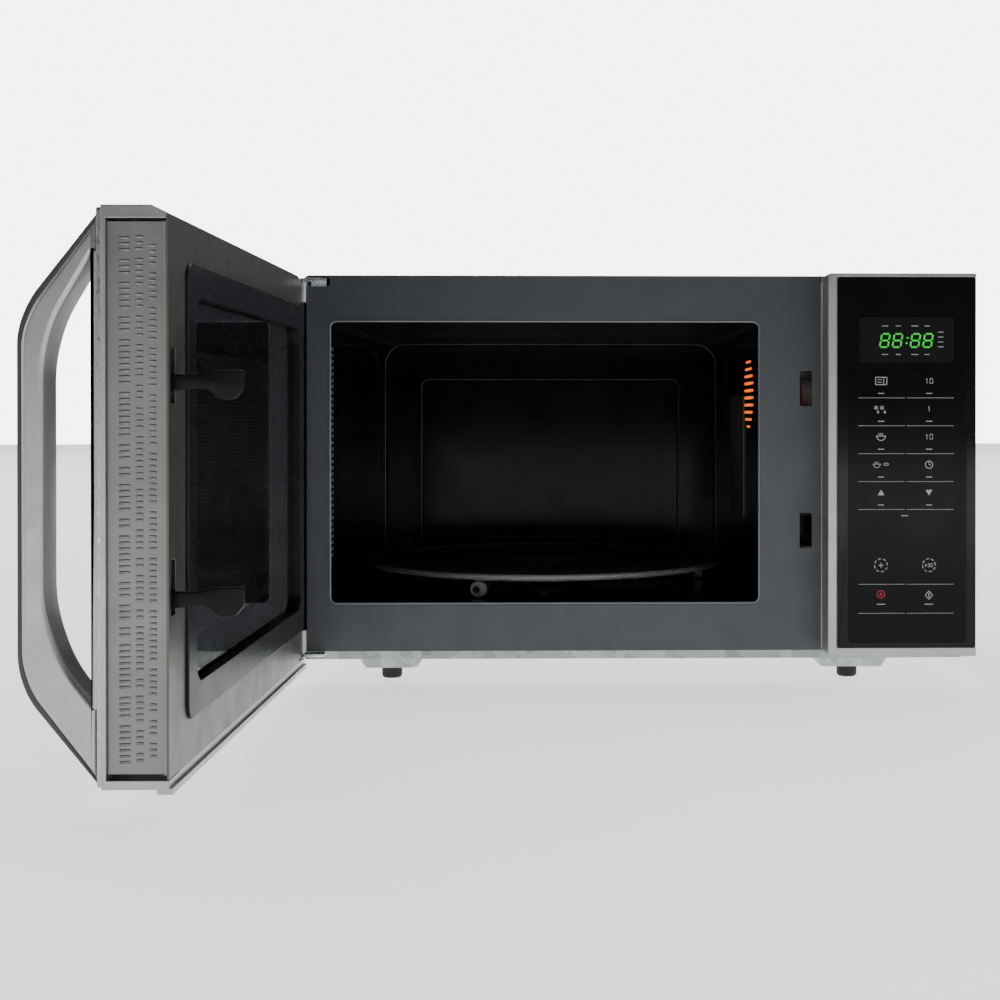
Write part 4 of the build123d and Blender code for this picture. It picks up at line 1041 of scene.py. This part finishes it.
class OVEN_OT_edge_dashes(OvenOperator, Operator):
    """Raise three plain columns of short dashes on the door's free edge"""

    bl_idname = "oven.edge_dashes"
    bl_label = "Edge Dashes"

    def execute(self, context):
        low, high = door_box("latch_cover")
        draw = random.Random(7)
        verts, faces = [], []
        lip, tall, pitch, space = 2.5 * MM, 1.9 * MM, 2.9 * MM, 2.4 * MM
        face = high.x - lip
        columns = [(5.6, 11.5, 5.0), (13.7, 17.8, 6.0), (20.1, 24.2, 8.0)]
        for start, end, margin in columns:
            y0, y1 = low.y + start * MM, low.y + end * MM
            z, top = low.z + margin * MM, high.z - (margin + 2.0) * MM
            while z < top:
                for _ in range(draw.randint(2, 9)):
                    if z < top:
                        self.dash(verts, faces, face, y0, y1, z, z + tall)
                    z += pitch
                z += space
        data = mesh_from("edge_dashes", verts, faces, True)
        add_object("edge_dashes", data, finish_of("edge_moulding"), "door")
        return {"FINISHED"}

    def dash(self, verts, faces, x, y0, y1, z0, z1):
        """One low bar with sloping sides."""
        start = len(verts)
        for inset, lift in ((0.0, -0.1), (0.45, 0.12)):
            u, v = inset * MM, inset * MM
            for y, z in ((y0 + u, z0 + v), (y1 - u, z0 + v), (y1 - u, z1 - v), (y0 + u, z1 - v)):
                verts.append(swing(x + lift * MM, y, z))
        for k in range(4):
            n = (k + 1) % 4
            faces.append((start + k, start + n, start + 4 + n, start + 4 + k))
        faces.append((start + 4, start + 5, start + 6, start + 7))
        faces.append((start, start + 1, start + 2, start + 3))


# ---------------------------------------------------------------- prints on the control panel
class Print:
    """Thin printed marks on a plane that faces the user, in mm from that plane's lower left corner."""

    def __init__(self, corner, lift=0.0, thick=0.12):
        self.corner = corner
        self.back = corner.y - lift * MM
        self.front = self.back - thick * MM
        self.verts = []
        self.faces = []

    def shape(self, points):
        """A filled convex outline."""
        start, count = len(self.verts), len(points)
        places = [(self.corner.x + x * MM, self.corner.z + z * MM) for x, z in points]
        self.verts.extend((x, self.front, z) for x, z in places)
        self.verts.extend((x, self.back, z) for x, z in places)
        self.faces.append(tuple(range(start, start + count)))
        self.faces.append(tuple(range(start + count, start + 2 * count)))
        for k in range(count):
            n = (k + 1) % count
            self.faces.append((start + k, start + n, start + count + n, start + count + k))

    def bar(self, a, b, width):
        """A straight stroke between two points."""
        start, end = Vector(a), Vector(b)
        along = (end - start).normalized()
        side = Vector((-along.y, along.x)) * (width / 2)
        self.shape([tuple(start - side), tuple(end - side), tuple(end + side), tuple(start + side)])

    def line(self, x0, x1, z, width):
        """A level stroke."""
        self.bar((x0, z), (x1, z), width)

    def loop(self, points, width):
        """A closed outline of straight strokes."""
        for here, ahead in zip(points, points[1:] + points[:1]):
            self.bar(here, ahead, width)

    def plus(self, x, z, reach, width):
        self.line(x - reach, x + reach, z, width)
        self.bar((x, z - reach), (x, z + reach), width)

    def arc(self, centre, radius, start, end, width, steps=16):
        """Part of a ring, with its angles in degrees."""
        inner, outer = radius - width / 2, radius + width / 2
        for k in range(steps):
            a = start + (end - start) * k / steps
            b = start + (end - start) * (k + 1) / steps
            corners = [(inner, a), (outer, a), (outer, b), (inner, b)]
            self.shape([polar(reach, angle, centre) for reach, angle in corners])

    def disc(self, centre, radius, steps=14):
        self.shape([polar(radius, 360 * k / steps, centre) for k in range(steps)])

    def build(self, name, finish):
        data = mesh_from(name, self.verts, self.faces)
        return add_object(name, data, finish_of(finish), "root")


SEGMENTS = {
    "a": ((0.12, 1.0), (0.88, 1.0)), "b": ((1.0, 0.94), (1.0, 0.56)), "c": ((1.0, 0.44), (1.0, 0.06)),
    "d": ((0.12, 0.0), (0.88, 0.0)), "e": ((0.0, 0.44), (0.0, 0.06)), "f": ((0.0, 0.94), (0.0, 0.56)),
    "g": ((0.12, 0.5), (0.88, 0.5)),
}
NUMERALS = {
    "0": [SEGMENTS[key] for key in "abcdef"], "1": [((0.5, 1.0), (0.5, 0.0)), ((0.5, 1.0), (0.15, 0.78))],
    "3": [SEGMENTS[key] for key in "abgcd"], "8": [SEGMENTS[key] for key in "abcdefg"],
}


def numeral(marks, digit, x, z, width, height, stroke, lean=0.0):
    """One numeral drawn from straight strokes, with its lower left corner at x, z."""
    for a, b in NUMERALS[digit]:
        start = (x + a[0] * width + a[1] * height * lean, z + a[1] * height)
        end = (x + b[0] * width + b[1] * height * lean, z + b[1] * height)
        marks.bar(start, end, stroke)


class OVEN_OT_display(OvenOperator, Operator):
    """Light the four display digits behind the window"""

    bl_idname = "oven.display"
    bl_label = "Display"

    def execute(self, context):
        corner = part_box("display_window")[0]
        lift, thick = 0.02, 0.06
        digits = Print(corner, lift, thick)
        bottom, height, lean = 10.8, 9.4, 0.17
        for start in (14.5, 23.5, 36.2, 45.2):
            numeral(digits, "8", start, bottom, 5.8, height, 1.15, lean)
        for rise in (0.3, 0.7):
            digits.disc((33.2 + height * rise * lean, bottom + height * rise), 0.7)
        digits.build("display_digits", "display_green")
        marks = Print(corner, lift, thick)
        for start, length in ((16, 4.5), (26, 3.5), (37, 5), (46.5, 3.5)):
            for row in (25.8, 5.6):
                marks.line(start, start + length, row, 0.5)
        for row in (21.5, 18.0, 14.5, 11.0):
            marks.line(56, 60, row, 0.5)
        marks.build("display_marks", "print_grey")
        return {"FINISHED"}


class OVEN_OT_keypad(OvenOperator, Operator):
    """Print the generic pictograms and numerals on the keypad sheet"""

    bl_idname = "oven.keypad"
    bl_label = "Keypad Prints"

    left, right = 23.1, 57.3
    top_row, row_step = 8.6, 19.8
    time_row, start_row, stop_row = 55.1, 33.8, 34.5

    def execute(self, context):
        low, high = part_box("membrane_keypad")
        first = (high.z - low.z) / MM - self.top_row
        self.rows = [first - self.row_step * k for k in range(5)]
        marks = Print(low)
        for draw in (self.rules, self.cooking, self.thaw, self.dishes, self.arrows, self.time_keys):
            draw(marks)
        marks.build("keypad_prints", "print_grey")
        stop = Print(low)
        self.stop_key(stop)
        stop.build("keypad_stop", "print_red")
        return {"FINISHED"}

    def rules(self, marks):
        """Thin lines under the keys, with a short dash under each pictogram."""
        heights = [row - 12.0 for row in self.rows] + [41.6, 21.0]
        for z in heights:
            for x0, x1 in ((6.8, 40.0), (41.4, 74.8)):
                marks.line(x0, x1, z, 0.28)
        for z in heights[:5]:
            for x in (self.left, self.right):
                marks.line(x - 2.2, x + 2.2, z + 3.2, 0.55)
        for x in (self.left, self.right):
            marks.line(x - 3.0, x + 3.0, 27.4, 0.55)
        marks.line(37.4, 42.4, self.rows[4] - 16.4, 0.6)

    def number(self, marks, text, row):
        width, height, stroke, gap = 2.0, 3.6, 0.38, 1.1
        x = self.right - (len(text) * width + (len(text) - 1) * gap) / 2
        for k, digit in enumerate(text):
            numeral(marks, digit, x + k * (width + gap), row - height / 2, width, height, stroke)

    def cooking(self, marks):
        """A small oven with its door panel, and ten."""
        x, z = self.left, self.rows[0]
        marks.loop([(x - 4, z - 2.6), (x + 4, z - 2.6), (x + 4, z + 2.6), (x - 4, z + 2.6)], 0.5)
        marks.bar((x + 1.8, z - 2.4), (x + 1.8, z + 2.4), 0.4)
        for rise in (-0.9, 0.9):
            marks.line(x - 2.8, x + 0.6, z + rise, 0.4)
        self.number(marks, "10", z)

    def thaw(self, marks):
        """Two snow crystals over two drops, and one."""
        z = self.rows[1]
        for side in (-3.6, 0.6):
            centre = (self.left + side, z + 0.8)
            for angle in (30, 90, 150):
                marks.bar(polar(1.7, angle + 180, centre), polar(1.7, angle, centre), 0.4)
        for side in (-2.2, 2.6):
            x = self.left + side
            marks.disc((x, z - 2.4), 0.8)
            marks.shape([(x - 0.6, z - 2.1), (x + 0.6, z - 2.1), (x, z - 0.7)])
        self.number(marks, "1", z)

    def bowl(self, marks, x, z, size):
        """A steaming bowl."""
        marks.arc((x, z + 0.4 * size), 3.0 * size, 180, 360, 0.5 * size)
        marks.line(x - 3.6 * size, x + 3.6 * size, z + 0.5 * size, 0.5 * size)
        for side in (-1.3, 0.0, 1.3):
            marks.arc((x + side * size, z + 2.0 * size), 0.55 * size, 90, 300, 0.35 * size, 6)

    def dishes(self, marks):
        """A bowl and ten, then a bowl with a dish, and a clock."""
        self.bowl(marks, self.left, self.rows[2], 1.0)
        self.number(marks, "10", self.rows[2])
        x, z = self.left, self.rows[3]
        self.bowl(marks, x - 3.0, z, 0.8)
        marks.arc((x + 3.6, z - 1.2), 2.4, 40, 140, 0.45, 8)
        marks.arc((x + 3.6, z + 1.9), 2.4, 220, 320, 0.45, 8)
        x = self.right
        marks.arc((x, z), 2.6, 0, 360, 0.5, 24)
        marks.bar((x, z), (x, z + 1.8), 0.45)
        marks.line(x, x + 1.3, z, 0.45)

    def arrows(self, marks):
        """A triangle that points up and one that points down."""
        z = self.rows[4]
        for x, way in ((self.left, 1), (self.right, -1)):
            marks.shape([(x - 2.4, z - 1.9 * way), (x + 2.4, z - 1.9 * way), (x, z + 2.0 * way)])

    def time_keys(self, marks):
        """Two dashed rings, one with a plus and one with plus thirty, and a diamond with an upright bar."""
        x, z = self.right, self.time_row
        for middle in (self.left, x):
            for k in range(8):
                marks.arc((middle, z), 4.6, 45 * k, 45 * k + 27, 0.55, 3)
        marks.plus(self.left, z, 1.7, 0.6)
        marks.plus(x - 2.3, z, 0.9, 0.45)
        for digit, side in (("3", -0.9), ("0", 1.3)):
            numeral(marks, digit, x + side, z - 1.2, 1.3, 2.4, 0.4)
        z = self.start_row
        marks.loop([(x, z + 3.0), (x + 2.6, z), (x, z - 3.0), (x - 2.6, z)], 0.5)
        marks.bar((x, z - 1.6), (x, z + 1.6), 0.6)

    def stop_key(self, marks):
        """A ring round a triangle."""
        x, z = self.left, self.stop_row
        marks.arc((x, z), 2.7, 0, 360, 0.5, 24)
        marks.loop([(x - 1.2, z - 0.9), (x + 1.2, z - 0.9), (x, z + 1.2)], 0.4)


PIECES = [
    OVEN_OT_stage, OVEN_OT_cad_finishes, OVEN_OT_soft_edges, OVEN_OT_mouth_bead, OVEN_OT_glass_tray,
    OVEN_OT_lamp_glow, OVEN_OT_vent_rims, OVEN_OT_press_lines, OVEN_OT_window_screen, OVEN_OT_latch,
    OVEN_OT_handle, OVEN_OT_edge_dashes, OVEN_OT_display, OVEN_OT_keypad,
]


class OVEN_PT_pieces(Panel):
    """Lists the looks and the operators in the sidebar"""

    bl_label = "Microwave Oven"
    bl_idname = "OVEN_PT_pieces"
    bl_space_type = "VIEW_3D"
    bl_region_type = "UI"
    bl_category = "Oven"

    def draw(self, context):
        look = context.scene.oven_look
        column = self.layout.column(align=True)
        for name in OvenLook.__annotations__:
            column.prop(look, name)
        column = self.layout.column(align=True)
        for piece in PIECES:
            column.operator(piece.bl_idname)


CLASSES = [OvenLook, *PIECES, OVEN_PT_pieces]


def register():
    for cls in CLASSES:
        bpy.utils.register_class(cls)
    bpy.types.Scene.oven_look = PointerProperty(type=OvenLook)


def unregister():
    del bpy.types.Scene.oven_look
    for cls in reversed(CLASSES):
        bpy.utils.unregister_class(cls)


def main():
    register()
    for piece in PIECES:
        group, name = piece.bl_idname.split(".")
        getattr(getattr(bpy.ops, group), name)()


if __name__ == "__main__":
    main()
